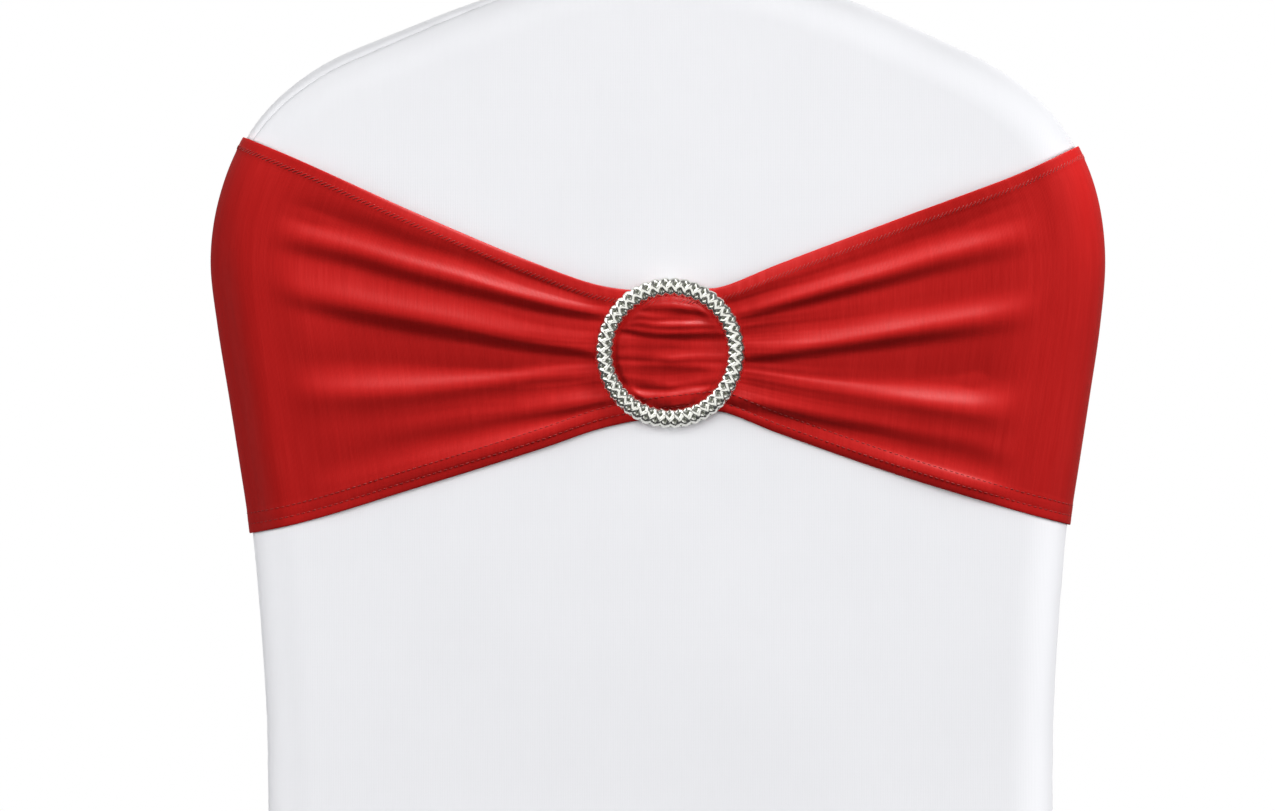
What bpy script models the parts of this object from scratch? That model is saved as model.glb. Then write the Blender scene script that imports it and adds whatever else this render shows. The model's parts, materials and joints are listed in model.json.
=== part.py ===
"""Stretch cover for a crown-back banquet chair, with a stretch sash gathered into a round buckle.

The cover is hollow: it is pulled over a chair from above, and four reinforced pockets hook under the
feet. Frame: +Z up, the seat runs towards +Y, the outer face of the back looks along -Y. The origin is
where the crown's underside bears on the chair's top rail. Depths in the tables are measured down from
the outer face of the crown, widths out from the centre line.
"""
import math

import bpy
import numpy as np

# ------------------------------------------------------------------ driving sizes, metres
MM = 0.001
CLOTH = 0.0012            # thickness of the cover and of the sash
SEAM = 0.00016            # each panel stops this far short of its seam line
TOP = CLOTH               # outer face of the crown
FLOOR = -0.920            # soles of the foot pockets

BACK_T = 0.044            # covered back, front face to rear face
BACK_ROLL = 0.020         # radius of the rolled edge of the back
LEG_ROLL = 0.014          # radius of the cloth round a leg
LEAN = 0.0875             # the back leans this far back for each metre of height
SPLAY = 0.100             # the rear legs splay back by this below the seat
KNEE = -0.430             # where the rear edge turns from lean to splay
KNEE_SOFT = 0.060
REAR_CROWN = 0.0030       # outer back swells by this in its middle
INNER_CROWN = 0.0040      # inner back swells by this in its middle

SEAT_TOP = -0.450
CREASE_R = 0.040          # cloth bridges the corner between back and seat
SEAT_DOME = 0.008
FRONT_Y = 0.455           # front face of the seat
FRONT_R = 0.032           # rolled front edge of the seat
FRONT_SPLAY = 0.035       # front legs splay forward
SEAT_HALF_BACK = 0.180
SEAT_HALF_FRONT = 0.198
FOOT_HALF_FRONT = 0.205
SIDE_DROP = 0.020         # the side seam lies this far below the seat's top face

POCKET_H = 0.045
POCKET_WALL = 0.0016
POCKET_SOLE = 0.0020
HEM_ARCH = 0.085          # skirts arch up between the feet
HEM_POWER = 2.3

SASH_OFF = 0.0020         # outer face of the sash over the cover
RING_X = 0.0043           # the buckle sits a little right of the centre line
RING_DEPTH = 0.1770
RING_OUT = 0.0338
RING_IN = 0.0254

# Outline of the covered back and of the rear legs below it.
# depth, left half width, right half width (mm)
OUTLINE = [
    (0.0, 0.0, 0.0),
    (4.1, 38.5, 41.5),
    (18.0, 80.6, 84.7),
    (32.4, 118.0, 117.6),
    (46.8, 151.0, 147.7),
    (61.3, 171.0, 168.4),
    (75.7, 183.6, 181.4),
    (90.1, 191.2, 189.4),
    (103.6, 196.2, 194.4),
    (119.0, 199.8, 197.6),
    (137.4, 201.2, 198.8),
    (164.4, 198.2, 196.6),
    (198.2, 192.8, 191.7),
    (225.2, 188.6, 187.6),
    (252.2, 184.6, 183.6),
    (283.8, 181.6, 180.8),
    (337.8, 178.0, 177.6),
    (382.8, 177.2, 177.2),
    (450.0, 178.5, 178.5),
    (560.0, 184.5, 184.5),
    (700.0, 191.0, 191.0),
    (860.0, 197.5, 197.5),
    (921.2, 199.5, 199.5),
]

# How far round the rear roll the seam between rear panel and front panel sits, in degrees from the
# side. It creeps on to the rear face at the upper left.  depth, side (-1 left, +1 right), angle
SEAM_ROLL = [
    (0.0, 0, 7.0),
    (20.0, -1, 30.0),
    (45.0, -1, 37.0),
    (80.0, -1, 30.0),
    (140.0, -1, 12.0),
    (330.0, -1, 8.0),
    (420.0, -1, 4.0),
    (925.0, -1, 4.0),
    (20.0, 1, 4.0),
    (925.0, 1, 4.0),
]

# Edges of the sash across the outer back.  x, depth of its top edge, depth of its bottom edge (mm)
SASH_EDGES = [
    (-192.0, 78.0, 259.5),
    (-162.6, 90.3, 253.6),
    (-108.5, 114.7, 237.3),
    (-54.5, 137.4, 220.4),
    (-27.5, 146.6, 211.2),
    (-8.0, 149.0, 207.0),
    (4.3, 148.6, 205.6),
    (17.0, 148.2, 204.2),
    (26.6, 147.4, 203.4),
    (53.6, 136.8, 213.4),
    (107.6, 116.4, 232.2),
    (161.7, 96.2, 248.4),
    (190.0, 82.8, 255.8),
]

# Folds that run from the buckle towards the chair's edges. Heights stand off the sash's own face and
# places are fractions of its width, 0 at the bottom edge and 1 at the top edge.
# side, height (mm), place at the buckle, place half way, place at the edge, half width, reach (0 to 1)
FOLDS = [
    (-1, 1.6, 0.93, 0.95, 0.965, 0.045, 0.95),
    (-1, 2.4, 0.800, 0.826, 0.805, 0.030, 0.95),
    (-1, -2.2, 0.745, 0.765, 0.765, 0.026, 0.75),
    (-1, 2.6, 0.570, 0.646, 0.663, 0.045, 0.95),
    (-1, -3.2, 0.505, 0.576, 0.610, 0.024, 0.80),
    (-1, 2.2, 0.440, 0.396, 0.378, 0.060, 0.90),
    (-1, -1.2, 0.330, 0.340, 0.345, 0.035, 0.80),
    (-1, 1.6, 0.240, 0.262, 0.270, 0.040, 0.60),
    (-1, -2.8, 0.165, 0.198, 0.205, 0.026, 0.62),
    (-1, 2.2, 0.105, 0.140, 0.150, 0.040, 0.90),
    (1, 1.8, 0.950, 0.965, 0.965, 0.035, 0.95),
    (1, -2.2, 0.880, 0.925, 0.905, 0.024, 0.85),
    (1, 2.6, 0.795, 0.838, 0.838, 0.040, 0.95),
    (1, -3.2, 0.715, 0.765, 0.770, 0.024, 0.88),
    (1, 2.4, 0.600, 0.640, 0.680, 0.060, 0.80),
    (1, 2.2, 0.480, 0.575, 0.621, 0.030, 0.90),
    (1, -2.0, 0.425, 0.515, 0.555, 0.026, 0.80),
    (1, 2.2, 0.365, 0.345, 0.322, 0.045, 0.95),
    (1, -1.4, 0.270, 0.270, 0.262, 0.040, 0.80),
    (1, 1.8, 0.190, 0.220, 0.225, 0.030, 0.70),
    (1, -3.4, 0.115, 0.150, 0.168, 0.024, 0.95),
    (1, 2.4, 0.060, 0.085, 0.060, 0.030, 0.95),
]

# Wrinkles of the cloth inside the buckle.  height (mm), place at left, place at right, half width
WRINKLES = [
    (0.9, 0.90, 0.88, 0.045),
    (-0.9, 0.83, 0.76, 0.030),
    (0.7, 0.76, 0.70, 0.030),
    (0.8, 0.66, 0.66, 0.025),
    (-1.2, 0.60, 0.60, 0.022),
    (0.9, 0.50, 0.50, 0.060),
    (-0.4, 0.42, 0.44, 0.020),
    (0.7, 0.33, 0.36, 0.040),
    (-0.8, 0.24, 0.26, 0.025),
    (0.9, 0.17, 0.20, 0.035),
    (-1.0, 0.10, 0.11, 0.025),
]

# Mesh divisions: enough to hold the outline and the main folds.
N_CROWN = 10              # across, between the shoulders
N_BACK = 9                # rows, shoulder to seat crease
N_CREASE = 3
N_SEAT = 4
N_EDGE = 4                # rolled front edge, even
N_SKIRT = 5
N_ROLL_REAR = 4
N_ROLL_FRONT = 3
N_SIDE = 3
SHOULDER = 54.0           # depth (mm) where the crown meets the sides


# ------------------------------------------------------------------ small maths
def ease(t):
    t = np.clip(t, 0.0, 1.0)
    return t * t * (3.0 - 2.0 * t)


def column(table, k):
    return np.array([row[k] for row in table], dtype=float)


def smooth_curve(points, per_span=60):
    """Catmull-Rom through the points, spaced by the square root of each chord."""
    p = np.asarray(points, dtype=float)
    p = np.vstack([2 * p[0] - p[1], p, 2 * p[-1] - p[-2]])
    t = np.concatenate([[0.0], np.cumsum(np.sqrt(np.linalg.norm(np.diff(p, axis=0), axis=1)))])
    out = []
    for i in range(1, len(p) - 2):
        s = np.linspace(t[i], t[i + 1], per_span, endpoint=False)[:, None]
        a1 = (t[i] - s) / (t[i] - t[i - 1]) * p[i - 1] + (s - t[i - 1]) / (t[i] - t[i - 1]) * p[i]
        a2 = (t[i + 1] - s) / (t[i + 1] - t[i]) * p[i] + (s - t[i]) / (t[i + 1] - t[i]) * p[i + 1]
        a3 = (t[i + 2] - s) / (t[i + 2] - t[i + 1]) * p[i + 1] + (s - t[i + 1]) / (t[i + 2] - t[i + 1]) * p[i + 2]
        b1 = (t[i + 1] - s) / (t[i + 1] - t[i - 1]) * a1 + (s - t[i - 1]) / (t[i + 1] - t[i - 1]) * a2
        b2 = (t[i + 2] - s) / (t[i + 2] - t[i]) * a2 + (s - t[i]) / (t[i + 2] - t[i]) * a3
        out.append((t[i + 1] - s) / (t[i + 1] - t[i]) * b1 + (s - t[i]) / (t[i + 1] - t[i]) * b2)
    out.append(p[-2][None, :])
    return np.vstack(out)


# ------------------------------------------------------------------ outline of the back
def build_outline():
    depth, left, right = (column(OUTLINE, k) * MM for k in range(3))
    lo = [(-left[i], TOP - depth[i]) for i in range(len(depth) - 1, 0, -1)]
    hi = [(right[i], TOP - depth[i]) for i in range(len(depth))]
    return smooth_curve(lo + hi)


LINE = build_outline()                                    # left foot, over the crown, to right foot
RUN = np.concatenate([[0.0], np.cumsum(np.linalg.norm(np.diff(LINE, axis=0), axis=1))])
TAN = np.gradient(LINE, RUN, axis=0)
TAN /= np.linalg.norm(TAN, axis=1)[:, None]
INWARD = np.stack([TAN[:, 1], -TAN[:, 0]], axis=1)        # right of travel: into the panel
APEX = int(np.argmax(LINE[:, 1]))


def run_at_depth(depth_mm, side):
    """Length along the outline where one side reaches a depth."""
    z = TOP - depth_mm * MM
    if side < 0:
        return float(np.interp(z, LINE[:APEX + 1, 1], RUN[:APEX + 1]))
    return float(np.interp(-z, -LINE[APEX:, 1], RUN[APEX:]))


def half_width(z, side):
    """Half width of the covered back at a height."""
    if side < 0:
        return -np.interp(z, LINE[:APEX + 1, 1], LINE[:APEX + 1, 0])
    return np.interp(-np.asarray(z), -LINE[APEX:, 1], LINE[APEX:, 0])


def rear_y(z):
    """Rear face of the cover at its rolled edge's crest: leans back above the seat, splays below it."""
    z = np.asarray(z, dtype=float)
    u = (KNEE - z) / KNEE_SOFT
    bend = np.where(u <= -1, 0.0, np.where(u >= 1, u, (u + 1) ** 2 / 4.0)) * KNEE_SOFT
    return -BACK_T / 2 - LEAN * z - (LEAN + SPLAY) * bend


def roll_radius(z):
    t = ease((z - (KNEE - 0.06)) / 0.10)
    return LEG_ROLL + (BACK_ROLL - LEG_ROLL) * t


def inset_depth(x, z):
    """Distance from points to the outline, positive inside."""
    x, z = np.broadcast_arrays(np.asarray(x, dtype=float), np.asarray(z, dtype=float))
    p = np.stack([x.ravel(), z.ravel()], axis=1)
    thin = slice(None, None, 3)
    line, inward = LINE[thin], INWARD[thin]
    out = np.empty(len(p))
    for a in range(0, len(p), 400):
        d = p[a:a + 400, None, :] - line[None, :, :]
        k = np.argmin((d ** 2).sum(axis=2), axis=1)
        near = d[np.arange(len(k)), k]
        out[a:a + 400] = (near * inward[k]).sum(axis=1)
    return out.reshape(x.shape)


def rear_swell(x, z):
    d = np.maximum(inset_depth(x, z) - BACK_ROLL, 0.0)
    return REAR_CROWN * (1.0 - np.exp(-(d / 0.090) ** 2)) * ease((z - (KNEE + 0.01)) / 0.12)


def inner_swell(x, z):
    d = np.maximum(inset_depth(x, z) - BACK_ROLL, 0.0)
    return INNER_CROWN * (1.0 - np.exp(-(d / 0.100) ** 2)) * ease((z - JOIN_Z) / 0.12)


# ------------------------------------------------------------------ meshes
class Sheet:
    """One cut panel: outer points and the quads between them, before it is given its thickness."""

    def __init__(self, name, colour):
        self.name, self.colour = name, colour
        self.points, self.faces, self.index = [], [], {}

    def point(self, p):
        key = tuple(np.round(np.asarray(p, dtype=float), 7))
        if key not in self.index:
            self.index[key] = len(self.points)
            self.points.append(np.asarray(p, dtype=float))
        return self.index[key]

    def grid(self, rows):
        """Quads between rows of points; rows run down and columns run right when seen from outside."""
        idx = [[self.point(p) for p in row] for row in rows]
        for upper, lower in zip(idx[:-1], idx[1:]):
            for c in range(len(upper) - 1):
                face = [upper[c], lower[c], lower[c + 1], upper[c + 1]]
                face = [v for n, v in enumerate(face) if v != face[n - 1]]
                if len(face) > 2:
                    self.faces.append(face)


def face_normals(points, faces):
    out = []
    for f in faces:
        p = [points[i] for i in f]
        n = np.zeros(3)
        for a in range(1, len(p) - 1):
            n += np.cross(p[a] - p[0], p[a + 1] - p[0])
        out.append(n)
    return out


def shared_normals(sheets):
    """Smooth normals, averaged over every panel that meets at a point."""
    total = {}
    for s in sheets:
        for f, n in zip(s.faces, face_normals(s.points, s.faces)):
            for i in f:
                key = tuple(np.round(s.points[i], 6))
                total[key] = total.get(key, 0.0) + n
    for s in sheets:
        n = np.array([total[tuple(np.round(p, 6))] for p in s.points])
        s.normals = n / np.linalg.norm(n, axis=1)[:, None]


def free_edges(faces):
    seen = {}
    for f in faces:
        for a, b in zip(f, f[1:] + f[:1]):
            seen[(a, b)] = f
    return {e: f for e, f in seen.items() if (e[1], e[0]) not in seen}


def thicken(s, thickness, gap):
    """Outer skin, inner skin and the rim between them, stopping short of the seams by the gap."""
    pts = np.array(s.points)
    edges = free_edges(s.faces)
    into = {}
    for (a, b), f in edges.items():
        along = pts[b] - pts[a]
        along = along / np.linalg.norm(along)
        n = face_normals(pts, [f])[0]
        m = np.cross(n / np.linalg.norm(n), along)
        into.setdefault(a, []).append(m)
        into.setdefault(b, []).append(m)
    moved = pts.copy()
    for v, ms in into.items():
        m = sum(ms)
        moved[v] = pts[v] + gap * m / max(0.35, 1.0 + (float(np.dot(ms[0], ms[1])) if len(ms) > 1 else 0.0))
    count = len(pts)
    verts = np.vstack([moved, moved - thickness * s.normals])
    faces = [list(f) for f in s.faces] + [[i + count for i in reversed(f)] for f in s.faces]
    faces += [[b, a, a + count, b + count] for a, b in edges]
    return verts, faces


# ------------------------------------------------------------------ materials and objects
def material(name, colour, rough, metal=0.0, sheen=0.0):
    mat = bpy.data.materials.new(name)
    mat.use_nodes = True
    shader = mat.node_tree.nodes["Principled BSDF"]
    shader.inputs["Base Color"].default_value = (*colour, 1.0)
    shader.inputs["Roughness"].default_value = rough
    shader.inputs["Metallic"].default_value = metal
    shader.inputs["Sheen Weight"].default_value = sheen
    return mat


def add_object(name, verts, faces, mat, parent, smooth_angle=40.0):
    mesh = bpy.data.meshes.new(name)
    mesh.from_pydata([tuple(v) for v in verts], [], [tuple(f) for f in faces])
    mesh.validate()
    mesh.materials.append(mat)
    mesh.shade_smooth()
    mesh.set_sharp_from_angle(angle=math.radians(smooth_angle))
    obj = bpy.data.objects.new(name, mesh)
    bpy.context.scene.collection.objects.link(obj)
    obj.parent = parent
    return obj


# ------------------------------------------------------------------ the cover's panels
JOIN_Z = SEAT_TOP + CREASE_R * (1.0 - math.sin(math.atan(LEAN)))   # where the front panel leaves the rear seam
HEM_Z = FLOOR + POCKET_H


def seam_angle(run):
    """Angle of the seam round the rear roll, in radians, at lengths along the outline."""
    keys = []
    for depth, side, angle in SEAM_ROLL:
        if side <= 0:
            keys.append((run_at_depth(depth, -1), angle))
        if side > 0:
            keys.append((run_at_depth(depth, 1), angle))
    keys.sort()
    curve = smooth_curve(np.array([(a * 100.0, b) for a, b in keys]), 12)
    return np.radians(np.interp(np.asarray(run) * 100.0, curve[:, 0], curve[:, 1]))


def outline_runs():
    """Lengths along the outline of every row: left foot to left shoulder, crown, right shoulder to foot."""
    parts = []
    for side in (-1, 1):
        foot = run_at_depth((TOP - HEM_Z) / MM, side)
        join = run_at_depth((TOP - JOIN_Z) / MM, side)
        top = run_at_depth(SHOULDER, side)
        parts.append((foot, join, top))
    (lf, lj, lt), (rf, rj, rt) = parts
    n_low = N_EDGE // 2 + N_SKIRT
    return (np.concatenate([np.linspace(lf, lj, n_low + 1)[:-1], np.linspace(lj, lt, N_BACK + 1)[:-1],
                            np.linspace(lt, rt, N_CROWN + 1)[:-1], np.linspace(rt, rj, N_BACK + 1)[:-1],
                            np.linspace(rj, rf, n_low + 1)]))


def along_outline(values):
    return np.stack([np.interp(RUNS, RUN, values[:, k]) for k in range(2)], axis=1)


RUNS = outline_runs()
N_LOW = N_EDGE // 2 + N_SKIRT
AT, AT_IN = along_outline(LINE), along_outline(INWARD)
AT_IN[:, 1] *= ease((AT[:, 1] - HEM_Z) / 0.12)            # the hem ends level on the foot pockets
AT_IN /= np.linalg.norm(AT_IN, axis=1)[:, None]
AT_R = roll_radius(AT[:, 1])
AT_SEAM = seam_angle(RUNS)
I_LJ, I_LT = N_LOW, N_LOW + N_BACK
I_RT, I_RJ = I_LT + N_CROWN, I_LT + N_CROWN + N_BACK


def rear_roll_point(i, angle):
    """Point on the rear roll: angle 0 at the side, pi/2 where the roll meets the rear face."""
    r = AT_R[i]
    x, z = AT[i] + AT_IN[i] * r * (1.0 - math.cos(angle))
    return np.array([x, float(rear_y(z)) + r * (1.0 - math.sin(angle)), z])


def hem_z(t):
    """Height of a hem between two feet, t from 0 to 1."""
    return HEM_Z + HEM_ARCH * (1.0 - np.abs(2.0 * np.asarray(t) - 1.0) ** HEM_POWER)


def fill_between(left, right, top, bottom):
    """Transfinite patch between four edges given as lists of points that share their corners."""
    left, right, top, bottom = (np.asarray(e) for e in (left, right, top, bottom))
    rows = []
    for i in range(len(left)):
        v = i / (len(left) - 1)
        row = []
        for j in range(len(top)):
            u = j / (len(top) - 1)
            ruled = (1 - u) * left[i] + u * right[i] + (1 - v) * top[j] + v * bottom[j]
            corner = ((1 - u) * (1 - v) * top[0] + u * (1 - v) * top[-1]
                      + (1 - u) * v * bottom[0] + u * v * bottom[-1])
            row.append(ruled - corner)
        rows.append(row)
    return rows


def rear_panel():
    s = Sheet("cover_rear_panel", "cover")
    inner = [AT[i] + AT_IN[i] * AT_R[i] for i in range(len(RUNS))]
    left = [inner[i] for i in range(I_LT, -1, -1)]
    right = [inner[i] for i in range(I_RT, len(RUNS))]
    top = inner[I_LT:I_RT + 1]
    bottom = []
    for j in range(N_CROWN + 1):
        t = j / N_CROWN
        bottom.append(np.array([left[-1][0] * (1 - t) + right[-1][0] * t, float(hem_z(t))]))
    bottom[0], bottom[-1] = left[-1], right[-1]
    rows = []
    for row in fill_between(left, right, top, bottom):
        rows.append([np.array([p[0], float(rear_y(p[1]) - rear_swell(p[0], p[1])), p[1]]) for p in row])
    s.grid(rows)
    strip = [[rear_roll_point(i, a) for a in np.linspace(AT_SEAM[i], math.pi / 2, N_ROLL_REAR + 1)]
             for i in range(len(RUNS))]
    # the roll's last point is the patch's own edge point
    edge_ids = {}
    for k, i in enumerate(range(I_LT, -1, -1)):
        edge_ids[i] = rows[k][0]
    for k, i in enumerate(range(I_RT, len(RUNS))):
        edge_ids[i] = rows[k][-1]
    for j, i in enumerate(range(I_LT, I_RT + 1)):
        edge_ids[i] = rows[0][j]
    for i in range(len(RUNS)):
        strip[i][-1] = edge_ids[i]
    # from the left foot over the crown to the right foot, rows run from the seam inwards
    s.grid([[strip[i][a] for i in range(len(RUNS))] for a in range(N_ROLL_REAR + 1)])
    return s


def front_section(i):
    """Section of the front panel round the back's edge at outline row i, from the inner face to the seam."""
    r, ang = AT_R[i], AT_SEAM[i]
    out = []
    for a in np.linspace(math.pi / 2, 0.0, N_ROLL_FRONT + 1):
        x, z = AT[i] + AT_IN[i] * r * (1.0 - math.cos(a))
        out.append(np.array([x, float(rear_y(z)) + BACK_T - r * (1.0 - math.sin(a)), z]))
    flat = BACK_T - 2 * r
    length = flat + r * ang
    for k in range(1, N_SIDE + 1):
        run = length * k / N_SIDE
        a = max(0.0, (run - flat) / r)
        x, z = AT[i] + AT_IN[i] * r * (1.0 - math.cos(a))
        y = float(rear_y(z)) + (BACK_T - r - run if run <= flat else r * (1.0 - math.sin(a)))
        out.append(np.array([x, y, z]))
    out[-1] = rear_roll_point(i, ang)
    return out


def front_rows():
    """Stations of the front panel from the seat crease to the front hem.
    Each: y, z, normal angle from +Y towards +Z, half widths, roll radius, drop of the seam."""
    tilt = math.atan(LEAN)
    y0, z0 = float(rear_y(JOIN_Z)) + BACK_T, JOIN_Z
    cy, cz = y0 + CREASE_R * math.cos(tilt), z0 + CREASE_R * math.sin(tilt)
    drop0 = BACK_T - BACK_ROLL
    half0 = (float(half_width(JOIN_Z, -1)), float(half_width(JOIN_Z, 1)))
    rows = []
    for k in range(1, N_CREASE + 1):
        t = k / N_CREASE
        a = tilt + (math.pi / 2 - tilt) * t
        e = float(ease(t))
        rows.append(dict(y=cy - CREASE_R * math.cos(a), z=cz - CREASE_R * math.sin(a), a=a,
                         half=[h + (SEAT_HALF_BACK - h) * e for h in half0],
                         r=BACK_ROLL + (LEG_ROLL - BACK_ROLL) * e, drop=drop0 + (SIDE_DROP - drop0) * e, t=0.0))
    ya, yb = cy, FRONT_Y - FRONT_R
    for k in range(1, N_SEAT + 1):
        t = k / N_SEAT
        half = SEAT_HALF_BACK + (SEAT_HALF_FRONT - SEAT_HALF_BACK) * t
        rows.append(dict(y=ya + (yb - ya) * t, z=SEAT_TOP, a=math.pi / 2, half=[half, half], r=LEG_ROLL,
                         drop=SIDE_DROP, t=t))
    end = math.atan(FRONT_SPLAY)
    for k in range(1, N_EDGE + 1):
        a = math.pi / 2 + (end - math.pi / 2) * k / N_EDGE
        rows.append(dict(y=yb + FRONT_R * math.cos(a), z=SEAT_TOP - FRONT_R + FRONT_R * math.sin(a), a=a,
                         half=[SEAT_HALF_FRONT] * 2, r=LEG_ROLL, drop=SIDE_DROP, t=1.0))
    last = rows[-1]
    for k in range(1, N_SKIRT + 1):
        t = k / N_SKIRT
        z = last["z"] + (HEM_Z - last["z"]) * t
        half = SEAT_HALF_FRONT + (FOOT_HALF_FRONT - SEAT_HALF_FRONT) * t
        rows.append(dict(y=last["y"] + FRONT_SPLAY * (last["z"] - z), z=z, a=end, half=[half, half], r=LEG_ROLL,
                         drop=SIDE_DROP, t=1.0, skirt=t))
    return rows


def front_panel():
    """Returns the panel and its two side edges, from the join at the back down to the front hem."""
    s = Sheet("cover_front_panel", "cover")
    sections = {i: front_section(i) for i in range(I_LJ, I_RJ + 1)}
    inner = {i: sections[i][0][[0, 2]] for i in sections}
    left = [inner[i] for i in range(I_LT, I_LJ - 1, -1)]
    right = [inner[i] for i in range(I_RT, I_RJ + 1)]
    top = [inner[i] for i in range(I_LT, I_RT + 1)]
    bottom = [left[-1] * (1 - j / N_CROWN) + right[-1] * (j / N_CROWN) for j in range(N_CROWN + 1)]
    rows = []
    for row in fill_between(left, right, top, bottom):
        rows.append([np.array([p[0], float(rear_y(p[1]) + BACK_T + inner_swell(p[0], p[1])), p[1]]) for p in row])
    for k, i in enumerate(range(I_LT, I_LJ - 1, -1)):
        sections[i][0] = rows[k][0]
    for k, i in enumerate(range(I_RT, I_RJ + 1)):
        sections[i][0] = rows[k][-1]
    for j, i in enumerate(range(I_LT, I_RT + 1)):
        sections[i][0] = rows[0][j]
    order = list(range(I_LJ, I_RJ + 1))
    n = N_ROLL_FRONT + N_SIDE
    # seen from outside, the strip runs over the crown from left to right and in towards the inner face;
    # the inner face looks the other way, so its columns run from right to left
    s.grid([[sections[i][a] for i in order] for a in range(n + 1)])
    s.grid([row[::-1] for row in rows])
    edges = {-1: [sections[I_LJ][-1]], 1: [sections[I_RJ][-1]]}
    previous = [sections[I_LJ][::-1] + rows[-1][1:-1] + sections[I_RJ]]
    for st in front_rows():
        ny, nz = math.cos(st["a"]), math.sin(st["a"])
        inner_half = [h - st["r"] for h in st["half"]]
        line = []
        for j in range(N_CROWN + 1):
            f = j / N_CROWN
            x = -inner_half[0] * (1 - f) + inner_half[1] * f
            y, z = st["y"], st["z"]
            if "skirt" in st:
                z_hem = float(hem_z(f))
                z = st["z"] + (z_hem - HEM_Z) * st["skirt"]
                y = st["y"] - FRONT_SPLAY * (z - st["z"])
            elif st["t"] > 0.0:
                up = SEAT_DOME * (1 - (2 * f - 1) ** 2) * math.sin(math.pi * min(1.0, st["t"]))
                z += up
            line.append(np.array([x, y, z]))
        wing = {}
        for side in (-1, 1):
            h = st["half"][0 if side < 0 else 1]
            pts = []
            for a in np.linspace(math.pi / 2, 0.0, N_ROLL_FRONT + 1)[1:]:
                dep = st["r"] * (1 - math.sin(a))
                pts.append((h - st["r"] * (1 - math.cos(a)), dep))
            for k in range(1, N_SIDE + 1):
                pts.append((h, st["r"] + (st["drop"] - st["r"]) * k / N_SIDE))
            level = nz * (1.0 - st.get("skirt", 0.0))          # the hem ends level on the foot pockets
            wing[side] = [np.array([side * x, st["y"] - ny * d, st["z"] - level * d]) for x, d in pts]
        full = wing[-1][::-1] + line + wing[1]
        edges[-1].append(wing[-1][-1])
        edges[1].append(wing[1][-1])
        previous.append(full)
    s.grid([row[::-1] for row in previous])
    return s, edges


def side_panel(side, edge, rear_edge):
    """Side skirt between the rear seam and the edge of the front panel."""
    s = Sheet("cover_side_left" if side < 0 else "cover_side_right", "cover")
    n_top = N_CREASE + N_SEAT + N_EDGE // 2
    top, front = edge[:n_top + 1], edge[n_top:]
    bottom = []
    for j in range(n_top + 1):
        t = j / n_top
        p = rear_edge[-1] * (1 - t) + front[-1] * t
        p[2] = float(hem_z(t))
        bottom.append(p)
    bottom[0], bottom[-1] = rear_edge[-1], front[-1]
    rows = fill_between(rear_edge, front, top, bottom)
    # the outside of the right skirt shows the rear on its left; the left skirt is its mirror
    s.grid(rows if side > 0 else [row[::-1] for row in rows])
    return s


def pocket(cx, cy, parent, mat, name):
    """Foot pocket: a cup with a flat sole, open at the top."""
    r_out, r_in = LEG_ROLL, LEG_ROLL - POCKET_WALL
    n = 16
    rim = HEM_Z - 2 * SEAM
    levels = [(r_out - 0.0012, FLOOR), (r_out, FLOOR + 0.0012), (r_out, rim), (r_in, rim), (r_in, FLOOR + POCKET_SOLE)]
    verts = []
    for r, z in levels:
        for k in range(n):
            a = 2 * math.pi * (k + 0.5) / n
            verts.append((cx + r * math.cos(a), cy + r * math.sin(a), z))
    faces = []
    for lev in range(len(levels) - 1):
        for k in range(n):
            a, b = lev * n + k, lev * n + (k + 1) % n
            faces.append([a, b, b + n, a + n])
    faces.append([k for k in range(n - 1, -1, -1)])
    faces.append([(len(levels) - 1) * n + k for k in range(n)])
    return add_object(name, verts, faces, mat, parent)


# ------------------------------------------------------------------ the sash
SASH_ROWS = 18
FAN_COLS = 8
RING_COLS = 8
ROLL_COLS = 5
FRONT_COLS = 8
BAND_TOP, BAND_BOTTOM = 0.094, 0.244      # depth of the band's edges in the middle of the inner back
RING_Z = TOP - RING_DEPTH
PRESSED = 0.0036                          # outer face of the cloth where it passes behind the buckle


def sash_edge_z(x, k):
    xs, zs = column(SASH_EDGES, 0) * MM, TOP - column(SASH_EDGES, k) * MM
    curve = smooth_curve(np.stack([xs, zs], axis=1), 16)
    return np.interp(x, curve[:, 0], curve[:, 1])


def fold_height(x, v):
    """Height of the folds over the sash's own face, for points across the outer back."""
    x, v = np.broadcast_arrays(np.asarray(x, dtype=float), np.asarray(v, dtype=float))
    total = np.zeros(x.shape)
    for side, height, v_ring, v_mid, v_edge, half, reach in FOLDS:
        q = (side * (x - RING_X) - 0.024) / 0.140
        place = np.interp(q, [0.0, 0.5, 1.0], [v_ring, v_mid, v_edge])
        fade = ease((q + 0.05) / 0.10) * (1.0 - ease((q - 0.25 * reach) / (0.80 * reach)))
        total += height * MM * fade * np.exp(-((v - place) / half) ** 2)
    for height, v_left, v_right, half in WRINKLES:
        q = (x - RING_X) / 0.022
        place = v_left + (v_right - v_left) * (q + 1) / 2
        total += height * MM * (1.0 - ease((np.abs(q) - 0.85) / 0.35)) * np.exp(-((v - place) / half) ** 2)
    return total


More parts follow.
